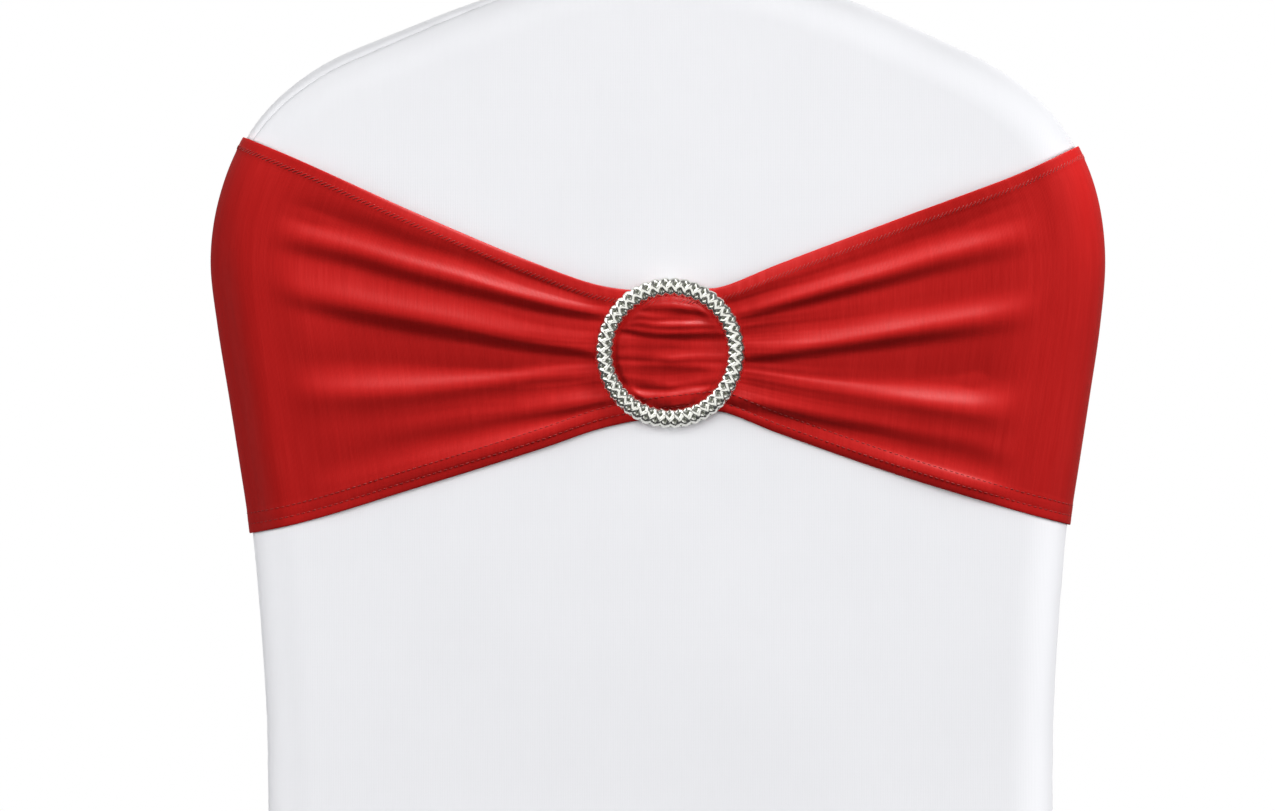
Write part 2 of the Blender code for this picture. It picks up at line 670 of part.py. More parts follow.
def sash_offset(x, z, v):
    """Stand-off of the sash's outer face from the cover across the outer back."""
    q = (np.abs(x - RING_X) - RING_OUT) / 0.075
    base = SASH_OFF + 0.0026 * (1.0 - ease(q)) + fold_height(x, v)
    low = SASH_OFF
    base = low + 0.5 * ((base - low) + np.sqrt((base - low) ** 2 + 0.0008 ** 2)) - 0.0004 * ease(q)
    base = np.maximum(base, low)
    r = np.hypot(x - RING_X, z - RING_Z)
    press = ease((r - 0.0215) / 0.0025) * (1.0 - ease((r - (RING_OUT + 0.0005)) / 0.010))
    puff = 0.0012 * (1.0 - ease((r - 0.010) / 0.013))
    base = base + puff
    held = np.minimum(base, PRESSED)
    base = base * (1 - press) + held * press
    # the cloth rides over the buckle's bar
    bar = 1.0 - ease((np.abs(x - RING_X) - 0.0030) / 0.006)
    return np.maximum(base, PRESSED * bar * (np.abs(z - RING_Z) < 0.036))


def find_x(z_of_x, target, side, x_in, x_out):
    """Where a row of the sash reaches a given distance inside the outline."""
    lo, hi = np.full(len(target), x_in), np.full(len(target), x_out)
    for _ in range(36):
        mid = (lo + hi) / 2
        inside = inset_depth(mid, z_of_x(mid)) > target
        lo, hi = np.where(inside, mid, lo), np.where(inside, hi, mid)
    return (lo + hi) / 2


def sash_rows():
    """Rows of outer points, bottom edge first, round the whole back."""
    grid = []
    angles = [math.pi / 2 * k / ROLL_COLS for k in range(ROLL_COLS, -1, -1)]
    for r in range(SASH_ROWS + 1):
        v = r / SASH_ROWS
        z_rear = lambda x: sash_edge_z(x, 2) * (1 - v) + sash_edge_z(x, 1) * v
        row = {}
        for side in (-1, 1):
            # rear roll, from the face to the side, then the front roll back on to the inner face
            target = np.array([BACK_ROLL - (BACK_ROLL + SASH_OFF) * math.cos(a) for a in angles])
            target[0] = BACK_ROLL
            xs = find_x(z_rear, target, side, side * 0.100, side * 0.215)
            zs = z_rear(xs)
            rear = [np.array([x, float(rear_y(z)) + BACK_ROLL - (BACK_ROLL + SASH_OFF) * math.sin(a), z])
                    for x, z, a in zip(xs, zs, angles)]
            front = [np.array([x, float(rear_y(z)) + BACK_T - BACK_ROLL + (BACK_ROLL + SASH_OFF) * math.sin(a), z])
                     for x, z, a in zip(xs, zs, angles)][::-1]
            row[side] = (rear, front)
        x0, x1 = row[-1][0][0][0], row[1][0][0][0]
        xr0, xr1 = RING_X - 0.030, RING_X + 0.030
        across = np.concatenate([x0 + (xr0 - x0) * (np.arange(1, FAN_COLS) / FAN_COLS) ** 0.85,
                                 np.linspace(xr0, xr1, RING_COLS + 1),
                                 xr1 + (x1 - xr1) * (np.arange(1, FAN_COLS) / FAN_COLS) ** 1.18])
        zs = z_rear(across)
        off = sash_offset(across, zs, np.full(len(across), v))
        face = [np.array([x, float(rear_y(z)) - float(rear_swell(x, z)) - o, z]) for x, z, o in zip(across, zs, off)]
        # plain band over the inner back
        a, b = row[-1][1][-1], row[1][1][-1]
        mid_z = TOP - (BAND_BOTTOM * (1 - v) + BAND_TOP * v)
        inner = []
        for k in range(1, FRONT_COLS):
            t = k / FRONT_COLS
            x = b[0] * (1 - t) + a[0] * t
            edge = b[2] * (1 - t) + a[2] * t
            z = edge + (mid_z - (a[2] + b[2]) / 2) * (1 - (2 * t - 1) ** 2)
            inner.append(np.array([x, float(rear_y(z)) + BACK_T + float(inner_swell(x, z)) + SASH_OFF + 0.0008 * math.sin(math.pi * t), z]))
        grid.append(row[-1][0][::-1] + face + row[1][0] + row[1][1] + inner + row[-1][1][::-1])
    return grid


def sash_sheet():
    s = Sheet("sash_band", "sash")
    rows = sash_rows()[::-1]
    s.grid([row + row[:1] for row in rows])
    return s


# ------------------------------------------------------------------ the buckle
def buckle(parent, mat):
    """Cast ring with a domed face, joined to a flat bar that passes behind the cloth."""
    tilt = math.atan(LEAN)
    face_y = float(rear_y(RING_Z)) - float(rear_swell(RING_X, RING_Z))

    def place(x, up, off):
        return (RING_X + x, face_y - off * math.cos(tilt) - up * math.sin(tilt), RING_Z + up * math.cos(tilt))

    section = [(RING_IN + 0.0003, 0.0046), (RING_IN, 0.0062), (RING_IN + 0.0013, 0.0084), (0.0296, 0.0096),
               (RING_OUT - 0.0013, 0.0084), (RING_OUT, 0.0062), (RING_OUT - 0.0003, 0.0046)]
    n, m = 48, len(section)
    verts, faces = [], []
    for k in range(n):
        a = 2 * math.pi * k / n
        verts += [place(r * math.cos(a), r * math.sin(a), off) for r, off in section]
    for k in range(n):
        for j in range(m):
            a, b = k * m + j, k * m + (j + 1) % m
            c, d = ((k + 1) % n) * m + (j + 1) % m, ((k + 1) % n) * m + j
            faces.append([a, d, c, b])
    ring = add_object("buckle_ring", verts, faces, mat, parent)
    # the bar stands on two posts behind the ring, above and below the gathered cloth
    up, post = 0.0330, 0.0304
    shape = [(-up, 0.0005), (up, 0.0005), (up, 0.0056), (post, 0.0056), (post, 0.0018), (-post, 0.0018),
             (-post, 0.0056), (-up, 0.0056)]
    half = 0.0020
    verts = [place(-half, u, o) for u, o in shape] + [place(half, u, o) for u, o in shape]
    k = len(shape)
    faces = [list(range(k)), list(range(2 * k - 1, k - 1, -1))]
    faces += [[(j + 1) % k, j, j + k, (j + 1) % k + k] for j in range(k)]
    bar = add_object("buckle_bar_tool", verts, faces, mat, parent)
    bar.hide_render = True
    bar.display_type = "WIRE"
    join = ring.modifiers.new("bar", "BOOLEAN")
    join.operation, join.solver, join.object = "UNION", "EXACT", bar
    return ring


def main():
    for obj in list(bpy.data.objects):
        bpy.data.objects.remove(obj, do_unlink=True)
    root = bpy.data.objects.new("chair_cover", None)
    bpy.context.scene.collection.objects.link(root)
    white = material("cover_knit_white", (0.83, 0.83, 0.85), 0.75, sheen=0.2)
    hard_white = material("pocket_fabric_white", (0.78, 0.78, 0.80), 0.85)
    red = material("sash_satin_red", (0.45, 0.016, 0.014), 0.42, sheen=0.3)
    silver = material("buckle_silver", (0.78, 0.79, 0.74), 0.22, metal=1.0)

    rear = rear_panel()
    front, edges = front_panel()
    rear_edge = {-1: [rear_roll_point(i, AT_SEAM[i]) for i in range(I_LJ, -1, -1)],
                 1: [rear_roll_point(i, AT_SEAM[i]) for i in range(I_RJ, len(RUNS))]}
    sides = [side_panel(side, edges[side], rear_edge[side]) for side in (-1, 1)]
    panels = [rear, front] + sides
    shared_normals(panels)
    for s in panels:
        verts, faces = thicken(s, CLOTH, SEAM)
        add_object(s.name, verts, faces, white, root)

    sash = sash_sheet()
    shared_normals([sash])
    verts, faces = thicken(sash, CLOTH, 0.0)
    add_object(sash.name, verts, faces, red, root)

    last = front_rows()[-1]
    for side, word in ((-1, "left"), (1, "right")):
        i = 0 if side < 0 else len(RUNS) - 1
        pocket(side * (abs(AT[i][0]) - LEG_ROLL), float(rear_y(HEM_Z)) + LEG_ROLL, root, hard_white,
               "foot_pocket_rear_" + word)
        pocket(side * (FOOT_HALF_FRONT - LEG_ROLL), last["y"] - LEG_ROLL, root, hard_white,
               "foot_pocket_front_" + word)
    buckle(root, silver)


main()
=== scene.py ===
import json
import math

import bpy
import numpy as np
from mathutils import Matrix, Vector
from mathutils.kdtree import KDTree

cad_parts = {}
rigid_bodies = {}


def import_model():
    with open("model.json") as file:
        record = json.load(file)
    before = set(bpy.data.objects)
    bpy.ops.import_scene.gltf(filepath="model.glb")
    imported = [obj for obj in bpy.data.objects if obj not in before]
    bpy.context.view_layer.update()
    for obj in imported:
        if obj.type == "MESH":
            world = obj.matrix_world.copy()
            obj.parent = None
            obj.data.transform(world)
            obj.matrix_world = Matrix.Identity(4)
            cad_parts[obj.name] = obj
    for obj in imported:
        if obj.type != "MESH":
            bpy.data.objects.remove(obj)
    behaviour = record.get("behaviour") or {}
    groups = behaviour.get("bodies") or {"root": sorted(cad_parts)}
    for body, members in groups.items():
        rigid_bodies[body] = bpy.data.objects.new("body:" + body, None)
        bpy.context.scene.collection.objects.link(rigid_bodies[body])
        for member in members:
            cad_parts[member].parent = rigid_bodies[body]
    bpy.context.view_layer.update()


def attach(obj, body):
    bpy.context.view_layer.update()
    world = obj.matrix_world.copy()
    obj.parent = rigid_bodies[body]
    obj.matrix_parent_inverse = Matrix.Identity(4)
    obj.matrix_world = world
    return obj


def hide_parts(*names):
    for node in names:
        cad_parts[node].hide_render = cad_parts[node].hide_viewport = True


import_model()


# ------------------------------------------------------------------ sizes of the cover, metres
# These are the frame's own numbers, with more divisions. Depths are measured down from the crown.
MM = 0.001
CLOTH = 0.0012
TOP = CLOTH
FLOOR = -0.920
BACK_T, BACK_ROLL, LEG_ROLL = 0.044, 0.020, 0.014
LEAN, SPLAY, KNEE, KNEE_SOFT = 0.0875, 0.100, -0.430, 0.060
REAR_CROWN, INNER_CROWN = 0.0030, 0.0040
SEAT_TOP, CREASE_R, SEAT_DOME = -0.450, 0.040, 0.008
FRONT_Y, FRONT_R, FRONT_SPLAY = 0.455, 0.032, 0.035
SEAT_HALF_BACK, SEAT_HALF_FRONT, FOOT_HALF_FRONT, SIDE_DROP = 0.180, 0.198, 0.205, 0.020
POCKET_H, POCKET_WALL, POCKET_SOLE = 0.045, 0.0016, 0.0020
HEM_ARCH, HEM_POWER = 0.085, 2.3
SASH_OFF = 0.0020
RING_X, RING_DEPTH, RING_OUT, RING_IN = 0.0043, 0.1770, 0.0338, 0.0254
RING_Z = TOP - RING_DEPTH
SHOULDER = 54.0
BAND_TOP, BAND_BOTTOM = 0.094, 0.244

# depth, left half width, right half width (mm)
OUTLINE = [
    (0.0, 0.0, 0.0), (4.1, 38.5, 41.5), (18.0, 80.6, 84.7), (32.4, 118.0, 117.6), (46.8, 151.0, 147.7),
    (61.3, 171.0, 168.4), (75.7, 183.6, 181.4), (90.1, 191.2, 189.4), (103.6, 196.2, 194.4),
    (119.0, 199.8, 197.6), (137.4, 201.2, 198.8), (164.4, 198.2, 196.6), (198.2, 192.8, 191.7),
    (225.2, 188.6, 187.6), (252.2, 184.6, 183.6), (283.8, 181.6, 180.8), (337.8, 178.0, 177.6),
    (382.8, 177.2, 177.2), (450.0, 178.5, 178.5), (560.0, 184.5, 184.5), (700.0, 191.0, 191.0),
    (860.0, 197.5, 197.5), (921.2, 199.5, 199.5),
]
# depth, side, degrees round the rear roll
SEAM_ROLL = [
    (0.0, 0, 7.0), (20.0, -1, 30.0), (45.0, -1, 37.0), (80.0, -1, 30.0), (140.0, -1, 12.0), (330.0, -1, 8.0),
    (420.0, -1, 4.0), (925.0, -1, 4.0), (20.0, 1, 4.0), (925.0, 1, 4.0),
]
# x, depth of the sash's top edge, depth of its bottom edge (mm)
SASH_EDGES = [
    (-192.0, 78.0, 259.5), (-162.6, 90.3, 253.6), (-108.5, 114.7, 237.3), (-54.5, 137.4, 220.4),
    (-27.5, 146.6, 211.2), (-8.0, 149.0, 207.0), (4.3, 148.6, 205.6), (17.0, 148.2, 204.2), (26.6, 147.4, 203.4),
    (53.6, 136.8, 213.4), (107.6, 116.4, 232.2), (161.7, 96.2, 248.4), (190.0, 82.8, 255.8),
]

# Divisions of the visual sheets.
N_CROWN, N_BACK, N_LOW = 96, 92, 118
N_CREASE, N_SEAT, N_EDGE = 12, 84, 20
N_SKIRT = N_LOW - N_EDGE // 2
SKIN = 0.0010              # thickness of the visual cloth


# ------------------------------------------------------------------ small maths
def ease(t):
    t = np.clip(t, 0.0, 1.0)
    return t * t * (3.0 - 2.0 * t)


def column(table, k):
    return np.array([row[k] for row in table], dtype=float)


def smooth_curve(points, per_span=60):
    """Catmull-Rom through the points, spaced by the square root of each chord."""
    p = np.asarray(points, dtype=float)
    p = np.vstack([2 * p[0] - p[1], p, 2 * p[-1] - p[-2]])
    t = np.concatenate([[0.0], np.cumsum(np.sqrt(np.linalg.norm(np.diff(p, axis=0), axis=1)))])
    out = []
    for i in range(1, len(p) - 2):
        s = np.linspace(t[i], t[i + 1], per_span, endpoint=False)[:, None]
        a1 = (t[i] - s) / (t[i] - t[i - 1]) * p[i - 1] + (s - t[i - 1]) / (t[i] - t[i - 1]) * p[i]
        a2 = (t[i + 1] - s) / (t[i + 1] - t[i]) * p[i] + (s - t[i]) / (t[i + 1] - t[i]) * p[i + 1]
        a3 = (t[i + 2] - s) / (t[i + 2] - t[i + 1]) * p[i + 1] + (s - t[i + 1]) / (t[i + 2] - t[i + 1]) * p[i + 2]
        b1 = (t[i + 1] - s) / (t[i + 1] - t[i - 1]) * a1 + (s - t[i - 1]) / (t[i + 1] - t[i - 1]) * a2
        b2 = (t[i + 2] - s) / (t[i + 2] - t[i]) * a2 + (s - t[i]) / (t[i + 2] - t[i]) * a3
        out.append((t[i + 1] - s) / (t[i + 1] - t[i]) * b1 + (s - t[i]) / (t[i + 1] - t[i]) * b2)
    out.append(p[-2][None, :])
    return np.vstack(out)


def value_noise(x, seed, octaves=3):
    """Smooth one-dimensional noise, about -1 to 1, with a period of 1 in its first octave."""
    rng = np.random.RandomState(seed)
    x = np.asarray(x, dtype=float)
    out = np.zeros_like(x)
    for o in range(octaves):
        table = rng.uniform(-1, 1, 257)
        y = x * 2.0 ** o + 17.3 * o
        k = np.floor(y).astype(int)
        f = y - k
        f = f * f * (3 - 2 * f)
        out += (table[k % 257] * (1 - f) + table[(k + 1) % 257] * f) * 0.5 ** o
    return out


# ------------------------------------------------------------------ outline of the back
def build_outline():
    depth, left, right = (column(OUTLINE, k) * MM for k in range(3))
    lo = [(-left[i], TOP - depth[i]) for i in range(len(depth) - 1, 0, -1)]
    hi = [(right[i], TOP - depth[i]) for i in range(len(depth))]
    return smooth_curve(lo + hi)


LINE = build_outline()
RUN = np.concatenate([[0.0], np.cumsum(np.linalg.norm(np.diff(LINE, axis=0), axis=1))])
TAN = np.gradient(LINE, RUN, axis=0)
TAN /= np.linalg.norm(TAN, axis=1)[:, None]
INWARD = np.stack([TAN[:, 1], -TAN[:, 0]], axis=1)
APEX = int(np.argmax(LINE[:, 1]))


def run_at_depth(depth_mm, side):
    z = TOP - depth_mm * MM
    if side < 0:
        return float(np.interp(z, LINE[:APEX + 1, 1], RUN[:APEX + 1]))
    return float(np.interp(-z, -LINE[APEX:, 1], RUN[APEX:]))


def half_width(z, side):
    if side < 0:
        return -np.interp(z, LINE[:APEX + 1, 1], LINE[:APEX + 1, 0])
    return np.interp(-np.asarray(z), -LINE[APEX:, 1], LINE[APEX:, 0])


def rear_y(z):
    z = np.asarray(z, dtype=float)
    u = (KNEE - z) / KNEE_SOFT
    bend = np.where(u <= -1, 0.0, np.where(u >= 1, u, (u + 1) ** 2 / 4.0)) * KNEE_SOFT
    return -BACK_T / 2 - LEAN * z - (LEAN + SPLAY) * bend


def roll_radius(z):
    t = ease((np.asarray(z) - (KNEE - 0.06)) / 0.10)
    return LEG_ROLL + (BACK_ROLL - LEG_ROLL) * t


def inset_depth(x, z):
    """Distance from points to the outline, positive inside."""
    x, z = np.broadcast_arrays(np.asarray(x, dtype=float), np.asarray(z, dtype=float))
    p = np.stack([x.ravel(), z.ravel()], axis=1)
    line, inward = LINE[::3], INWARD[::3]
    out = np.empty(len(p))
    for a in range(0, len(p), 500):
        d = p[a:a + 500, None, :] - line[None, :, :]
        k = np.argmin((d ** 2).sum(axis=2), axis=1)
        near = d[np.arange(len(k)), k]
        out[a:a + 500] = (near * inward[k]).sum(axis=1)
    return out.reshape(x.shape)


def rear_swell(x, z):
    d = np.maximum(inset_depth(x, z) - BACK_ROLL, 0.0)
    return REAR_CROWN * (1.0 - np.exp(-(d / 0.090) ** 2)) * ease((z - (KNEE + 0.01)) / 0.12)


JOIN_Z = SEAT_TOP + CREASE_R * (1.0 - math.sin(math.atan(LEAN)))
HEM_Z = FLOOR + POCKET_H


def inner_swell(x, z):
    d = np.maximum(inset_depth(x, z) - BACK_ROLL, 0.0)
    return INNER_CROWN * (1.0 - np.exp(-(d / 0.100) ** 2)) * ease((z - JOIN_Z) / 0.12)


def seam_angle(run):
    keys = []
    for depth, side, angle in SEAM_ROLL:
        if side <= 0:
            keys.append((run_at_depth(depth, -1), angle))
        if side > 0:
            keys.append((run_at_depth(depth, 1), angle))
    keys.sort()
    curve = smooth_curve(np.array([(a * 100.0, b) for a, b in keys]), 12)
    return np.radians(np.interp(np.asarray(run) * 100.0, curve[:, 0], curve[:, 1]))


def hem_z(t):
    return HEM_Z + HEM_ARCH * (1.0 - np.abs(2.0 * np.asarray(t) - 1.0) ** HEM_POWER)


def outline_runs():
    parts = []
    for side in (-1, 1):
        parts.append((run_at_depth((TOP - HEM_Z) / MM, side), run_at_depth((TOP - JOIN_Z) / MM, side),
                      run_at_depth(SHOULDER, side)))
    (lf, lj, lt), (rf, rj, rt) = parts
    return np.concatenate([np.linspace(lf, lj, N_LOW + 1)[:-1], np.linspace(lj, lt, N_BACK + 1)[:-1],
                           np.linspace(lt, rt, N_CROWN + 1)[:-1], np.linspace(rt, rj, N_BACK + 1)[:-1],
                           np.linspace(rj, rf, N_LOW + 1)])


RUNS = outline_runs()


def along_outline(values):
    return np.stack([np.interp(RUNS, RUN, values[:, k]) for k in range(2)], axis=1)


AT, AT_IN = along_outline(LINE), along_outline(INWARD)
AT_IN[:, 1] *= ease((AT[:, 1] - HEM_Z) / 0.12)
AT_IN /= np.linalg.norm(AT_IN, axis=1)[:, None]
AT_R = roll_radius(AT[:, 1])
AT_SEAM = seam_angle(RUNS)
I_LJ, I_LT = N_LOW, N_LOW + N_BACK
I_RT, I_RJ = I_LT + N_CROWN, I_LT + N_CROWN + N_BACK
INNER = AT + AT_IN * AT_R[:, None]


def roll_points(angle):
    """Points on the rear roll for one angle at each outline row: 0 at the side, pi/2 at the rear face."""
    p = AT + AT_IN * (AT_R * (1.0 - np.cos(angle)))[:, None]
    y = rear_y(p[:, 1]) + AT_R * (1.0 - np.sin(angle))
    return np.stack([p[:, 0], y, p[:, 1]], axis=1)


def tfi(left, right, top, bottom, us=None, vs=None):
    """Transfinite patch; edges are points by even index, read at us across and vs down."""
    left, right, top, bottom = (np.asarray(e, dtype=float) for e in (left, right, top, bottom))
    us = np.linspace(0, 1, len(top)) if us is None else np.asarray(us)
    vs = np.linspace(0, 1, len(left)) if vs is None else np.asarray(vs)

    def read(edge, t):
        s = np.linspace(0, 1, len(edge))
        return np.stack([np.interp(t, s, edge[:, k]) for k in range(edge.shape[1])], axis=1)

    le, ri, to, bo = read(left, vs), read(right, vs), read(top, us), read(bottom, us)
    u, v = us[None, :, None], vs[:, None, None]
    ruled = (1 - u) * le[:, None] + u * ri[:, None] + (1 - v) * to[None] + v * bo[None]
    corner = ((1 - u) * (1 - v) * top[0] + u * (1 - v) * top[-1] + (1 - u) * v * bottom[0] + u * v * bottom[-1])
    return ruled - corner


def finer_ends(n, length, near=(0.0, 0.0005, 0.0012, 0.0021, 0.0034), both=True):
    """Fractions from 0 to 1 with close rows beside the seams at the ends."""
    near = np.asarray(near) / length
    mid = np.linspace(near[-1], 1 - near[-1] if both else 1.0, n)
    tail = (1 - near[::-1])[1:] if both else np.array([])
    return np.concatenate([near[:-1], mid, tail])


# ------------------------------------------------------------------ meshes
def blank_object(name, mesh, body="root"):
    obj = bpy.data.objects.new(name, mesh)
    bpy.context.scene.collection.objects.link(obj)
    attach(obj, body)
    return obj


def mesh_from(name, verts, faces, uv=None, smooth=True, attributes=None):
    """faces is a list of arrays of quads or triangles; uv is one pair for each vertex."""
    mesh = bpy.data.meshes.new(name)
    loops = np.concatenate([f.ravel() for f in faces]).astype(np.int32)
    sizes = np.concatenate([np.full(len(f), f.shape[1]) for f in faces]).astype(np.int32)
    mesh.vertices.add(len(verts))
    mesh.vertices.foreach_set("co", np.asarray(verts, np.float32).ravel())
    mesh.loops.add(len(loops))
    mesh.loops.foreach_set("vertex_index", loops)
    mesh.polygons.add(len(sizes))
    mesh.polygons.foreach_set("loop_start", np.concatenate([[0], np.cumsum(sizes)[:-1]]).astype(np.int32))
    mesh.polygons.foreach_set("use_smooth", np.full(len(sizes), smooth))
    mesh.update(calc_edges=True)
    if uv is not None:
        layer = mesh.uv_layers.new(name="cloth")
        layer.data.foreach_set("uv", np.asarray(uv, np.float32)[loops].ravel())
    for key, values in (attributes or {}).items():
        a = mesh.attributes.new(key, "FLOAT", "POINT")
        a.data.foreach_set("value", np.asarray(values, np.float32))
    mesh.validate()
    mesh.update()
    return mesh


class Sheet:
    """A panel made of point grids that share edges. Rows run down and columns right, seen from outside."""

    def __init__(self, name):
        self.name, self.grids, self.uvs = name, [], []

    def grid(self, points, uv):
        self.grids.append(np.asarray(points, dtype=float))
        self.uvs.append(np.asarray(uv, dtype=float))

    def join(self):
        flat = np.vstack([g.reshape(-1, 3) for g in self.grids])
        uv = np.vstack([u.reshape(-1, 2) for u in self.uvs])
        keys = np.round(flat / 2e-6).astype(np.int64)
        _, first, back = np.unique(keys, axis=0, return_index=True, return_inverse=True)
        back = back.ravel()
        self.points, self.uv = flat[first], uv[first]
        quads, base = [], 0
        for g in self.grids:
            r, c = g.shape[:2]
            idx = back[base:base + r * c].reshape(r, c)
            base += r * c
            quads.append(np.stack([idx[:-1, :-1], idx[1:, :-1], idx[1:, 1:], idx[:-1, 1:]], axis=-1).reshape(-1, 4))
        quads = np.vstack(quads)
        good = np.array([len(set(q)) == 4 for q in quads])
        self.quads = quads[good]
        tris = []
        for q in quads[~good]:
            t = [v for n, v in enumerate(q) if v != q[n - 1]]
            if len(t) == 3:
                tris.append(t)
        self.tris = np.array(tris, dtype=np.int64).reshape(-1, 3)
        self.normals = self.find_normals(self.points)
        return self

    def find_normals(self, p):
        n = np.zeros_like(p)
        for f in (self.quads, self.tris):
            if not len(f):
                continue
            if f.shape[1] == 4:
                fn = np.cross(p[f[:, 2]] - p[f[:, 0]], p[f[:, 3]] - p[f[:, 1]])
            else:
                fn = np.cross(p[f[:, 1]] - p[f[:, 0]], p[f[:, 2]] - p[f[:, 0]])
            for k in range(f.shape[1]):
                np.add.at(n, f[:, k], fn)
        return n / np.maximum(np.linalg.norm(n, axis=1), 1e-12)[:, None]

    def rim(self):
        e = []
        for f in (self.quads, self.tris):
            for k in range(f.shape[1] if len(f) else 0):
                e.append(np.stack([f[:, k], f[:, (k + 1) % f.shape[1]]], axis=1))
        e = np.vstack(e)
        have = {(int(a), int(b)) for a, b in e}
        return np.array([(a, b) for a, b in have if (b, a) not in have], dtype=np.int64)

    def build(self, thickness, lift=None, drop=None, attributes=None):
        """Closed cloth: outer skin moved by lift along its normals, inner skin below it, and the rim."""
        lift = np.zeros(len(self.points)) if lift is None else lift
        drop = np.zeros(len(self.points)) if drop is None else drop
        outer = self.points + self.normals * lift[:, None]
        inner = self.points - self.normals * (thickness + drop)[:, None]
        n = len(self.points)
        edges = self.rim()
        faces = [self.quads, self.quads[:, ::-1] + n]
        if len(self.tris):
            faces += [self.tris, self.tris[:, ::-1] + n]
        faces.append(np.stack([edges[:, 1], edges[:, 0], edges[:, 0] + n, edges[:, 1] + n], axis=1))
        extra = {k: np.concatenate([v, v]) for k, v in (attributes or {}).items()}
        self.outer = outer
        return mesh_from(self.name, np.vstack([outer, inner]), faces, np.vstack([self.uv, self.uv]), attributes=extra)


# ------------------------------------------------------------------ the cover's panels
NEAR_SEAM = np.array([0.00006, 0.00040, 0.0009, 0.0015, 0.0023, 0.0036])
NEAR_HEM = np.array([0.0, 0.0003, 0.0010, 0.0030, 0.0060, 0.0090, 0.0120, 0.0135, 0.0148, 0.0156, 0.0175])
FOLD_BANDS = []            # soft creases of the cover: centre, direction, height, half width, half length


def arc_fractions(edge):
    d = np.concatenate([[0.0], np.cumsum(np.linalg.norm(np.diff(edge, axis=0), axis=1))])
    return d / d[-1], d[-1]


def respace(edge, t):
    """The edge read at fractions of its length."""
    edge = np.asarray(edge, dtype=float)
    s, _ = arc_fractions(edge)
    return np.stack([np.interp(t, s, edge[:, k]) for k in range(edge.shape[1])], axis=1)


def from_end(near, length, count):
    """Fractions from 0 to 1 with the rows of near, in metres, beside the far end."""
    tail = 1.0 - near[::-1] / length
    return np.concatenate([np.linspace(0.0, tail[0], count)[:-1], tail])


HEM_ROWS = from_end(NEAR_HEM, 0.39, 102)


def rear_panel():
    s = Sheet("rear_panel")
    left = INNER[I_LT::-1]
    right = INNER[I_RT:]
    top = INNER[I_LT:I_RT + 1]
    t = np.linspace(0, 1, N_CROWN + 1)
    bottom = np.stack([left[-1][0] * (1 - t) + right[-1][0] * t, hem_z(t)], axis=1)
    bottom[0], bottom[-1] = left[-1], right[-1]
    vs = from_end(NEAR_HEM, 0.84, len(left) - 10)
    xz = tfi(left, right, top, bottom, None, vs)
    x, z = xz[..., 0], xz[..., 1]
    patch = np.stack([x, rear_y(z) - rear_swell(x, z), z], axis=-1)
    s.grid(patch, np.stack([x, z], axis=-1))
    # the roll, from the seam to the face; its rows follow the patch's own edge
    runs_at = np.concatenate([np.interp(vs[::-1], np.linspace(0, 1, I_LT + 1), np.arange(I_LT, -1, -1.0)),
                              np.arange(I_LT + 1, I_RT, dtype=float),
                              np.interp(vs, np.linspace(0, 1, len(right)), np.arange(I_RT, len(RUNS), 1.0))])
    k = np.arange(len(RUNS), dtype=float)
    at = np.stack([np.interp(runs_at, k, AT[:, c]) for c in range(2)], axis=1)
    ain = np.stack([np.interp(runs_at, k, AT_IN[:, c]) for c in range(2)], axis=1)
    r, ang = np.interp(runs_at, k, AT_R), np.interp(runs_at, k, AT_SEAM)
    inner = np.stack([np.interp(runs_at, k, INNER[:, c]) for c in range(2)], axis=1)
    n = len(at)
    arc = r * (math.pi / 2 - ang)
    rows, uvs = [], []
    fr = [("near", d) for d in NEAR_SEAM] + [("far", f) for f in np.linspace(0.0, 1.0, 12)[1:]]
    for kind, value in fr:
        a = ang + (value / r if kind == "near" else (NEAR_SEAM[-1] + (arc - NEAR_SEAM[-1]) * value) / r)
        p = at + ain * (r * (1 - np.cos(a)))[:, None]
        y = rear_y(p[:, 1]) + r * (1 - np.sin(a))
        if kind == "far" and value == 1.0:
            p = inner
            y = rear_y(p[:, 1]) - rear_swell(p[:, 0], p[:, 1])
        rows.append(np.stack([p[:, 0], y, p[:, 1]], axis=1))
        uvs.append(inner - ain * (r * (math.pi / 2 - a))[:, None])
    nl = len(vs)
    rows[-1][:nl] = patch[::-1, 0]
    rows[-1][nl:n - nl] = patch[0, 1:-1]
    rows[-1][n - nl:] = patch[:, -1]
    s.grid(np.array(rows), np.array(uvs))
    s.hem = np.vstack([np.array(rows)[:, 0][:-1], patch[-1], np.array(rows)[:, -1][::-1][1:]])
    return s


ROLL_A = np.linspace(math.pi / 2, 0.0, 9)


def side_runs(length):
    """Lengths round the side, from the end of the front roll to the seam."""
    length = np.asarray(length, dtype=float)
    tail = NEAR_SEAM[::-1]
    out = [(length - tail[0]) * f for f in np.linspace(0, 1, 5)[1:]]
    return out + [length - d for d in tail[1:]]


